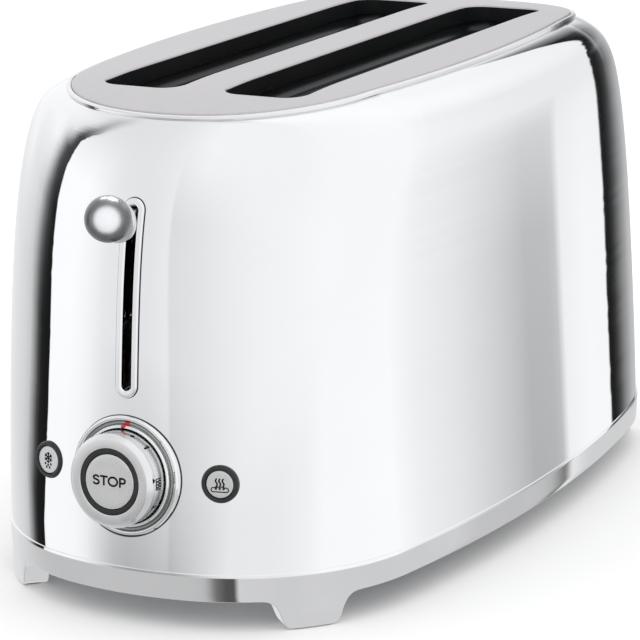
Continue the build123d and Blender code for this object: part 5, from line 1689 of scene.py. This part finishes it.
    # the table that the toaster stands on, seen by the upright base
    deep = curve(phi, [(-180, 187), (-177, 180), (-171, 112), (-165, 80), (-159.2, 80), (-158.6, 208), (-150, 205), (-38.5, 205),
                       (-35, 193), (-24, 190), (-22.5, 178), (-21, 148), (-19.6, 90), (-19.2, 240), (-17.5, 226), (-14.7, 207),
                       (0, 206), (39, 222), (60, 219), (80, 206), (90, 198), (102, 192), (113, 190), (174, 190), (180, 187)])
    start = t.ramp(phi, [(-180, 0.98), (-160, 1.0), (-145, 1.04), (-80, 1.03), (-50, 0.97), (-24, 0.875), (-18, 0.86), (-6, 0.835),
                         (14, 0.81), (30, 0.875), (60, 0.95), (180, 0.98)])
    below = t.math("SUBTRACT", t.math("MULTIPLY", start, -20.0), el)
    val = t.mix(t.ramp(below, [(-0.4, 0), (0.4, 1)]), val, deep)
    glossy = t.node("ShaderNodeCombineColor")
    t.link(t.math("MULTIPLY", val, 1.07), glossy.inputs[0])
    t.link(t.math("MULTIPLY", val, 1.075), glossy.inputs[1])
    t.link(t.math("MULTIPLY", val, 1.09), glossy.inputs[2])
    bg_g = t.node("ShaderNodeBackground")
    t.link(glossy.outputs[0], bg_g.inputs[0])
    bg_c = t.node("ShaderNodeBackground")
    bg_c.inputs[0].default_value = (1, 1, 1, 1)
    # soft light from above for everything that isn't a mirror
    sky = t.ramp(el, [(-90, 0.3), (-5, 0.3), (10, 0.42), (25, 0.64), (45, 0.92), (60, 1.0), (90, 1.0)])
    bg_d = t.node("ShaderNodeBackground")
    bg_d.inputs[1].default_value = 1.62
    t.link(sky, bg_d.inputs[0])
    lp = t.node("ShaderNodeLightPath")
    m1 = t.node("ShaderNodeMixShader")
    m2 = t.node("ShaderNodeMixShader")
    t.link(lp.outputs["Is Glossy Ray"], m1.inputs[0])
    t.link(bg_d.outputs[0], m1.inputs[1])
    t.link(bg_g.outputs[0], m1.inputs[2])
    t.link(lp.outputs["Is Camera Ray"], m2.inputs[0])
    t.link(m1.outputs[0], m2.inputs[1])
    t.link(bg_c.outputs[0], m2.inputs[2])
    t.link(m2.outputs[0], out.inputs[0])


studio_world()
bpy.context.scene.view_settings.view_transform = "Standard"

# ------------------------------------------------------------------ small lamps that only the ball gets
def ball_lamps():
    col = bpy.data.collections.new("ball_lit")
    col.objects.link(ball)
    c = np.array([BALL_X - 3.0, 0.0, BALL_Z])
    # direction from the ball, distance, size, strength
    for k, (d, dist, size, w) in enumerate((((-0.89, -0.44, 0.15), 260.0, 1500.0, 22.0), ((-0.89, -0.44, 0.15), 250.0, 850.0, 5.0), ((0.681, 0.136, 0.726), 300.0, 130.0, 0.9),
                                            ((0.55, 0.50, 0.68), 300.0, 70.0, 0.22), ((0.86, -0.30, 0.42), 300.0, 60.0, 0.14))):
        d = np.array(d) / np.linalg.norm(d)
        ld = bpy.data.lights.new("ball_lamp_%d" % k, "AREA")
        ld.shape = "DISK"
        ld.size = size * 0.001
        ld.energy = w
        ob = bpy.data.objects.new("ball_lamp_%d" % k, ld)
        bpy.context.scene.collection.objects.link(ob)
        p = Vector(put(c + d * dist)[0])
        ob.matrix_world = Matrix.Translation(p) @ Vector(tuple(d)).to_track_quat("Z", "Y").to_matrix().to_4x4()
        ob.light_linking.receiver_collection = col
        ob.light_linking.blocker_collection = col


ball_lamps()

# ------------------------------------------------------------------ camera at the photograph's place
CAM = np.array([-1251.480, -667.258, 450.375])
RIGHT = Vector((0.471491, -0.881680, -0.018365))
UP = Vector((0.230876, 0.103312, 0.967483))
FWD = Vector((0.851112, 0.460399, -0.252270))
cd = bpy.data.cameras.new("camera")
cd.sensor_width = 36.0
cd.sensor_fit = "HORIZONTAL"
cd.lens = 184.08
cd.clip_start = 0.05
cd.clip_end = 50.0
cam = bpy.data.objects.new("camera", cd)
bpy.context.scene.collection.objects.link(cam)
loc = put(CAM)[0]
m = Matrix((RIGHT, UP, -FWD)).transposed().to_4x4()
m.translation = Vector(loc)
cam.matrix_world = m
bpy.context.scene.camera = cam
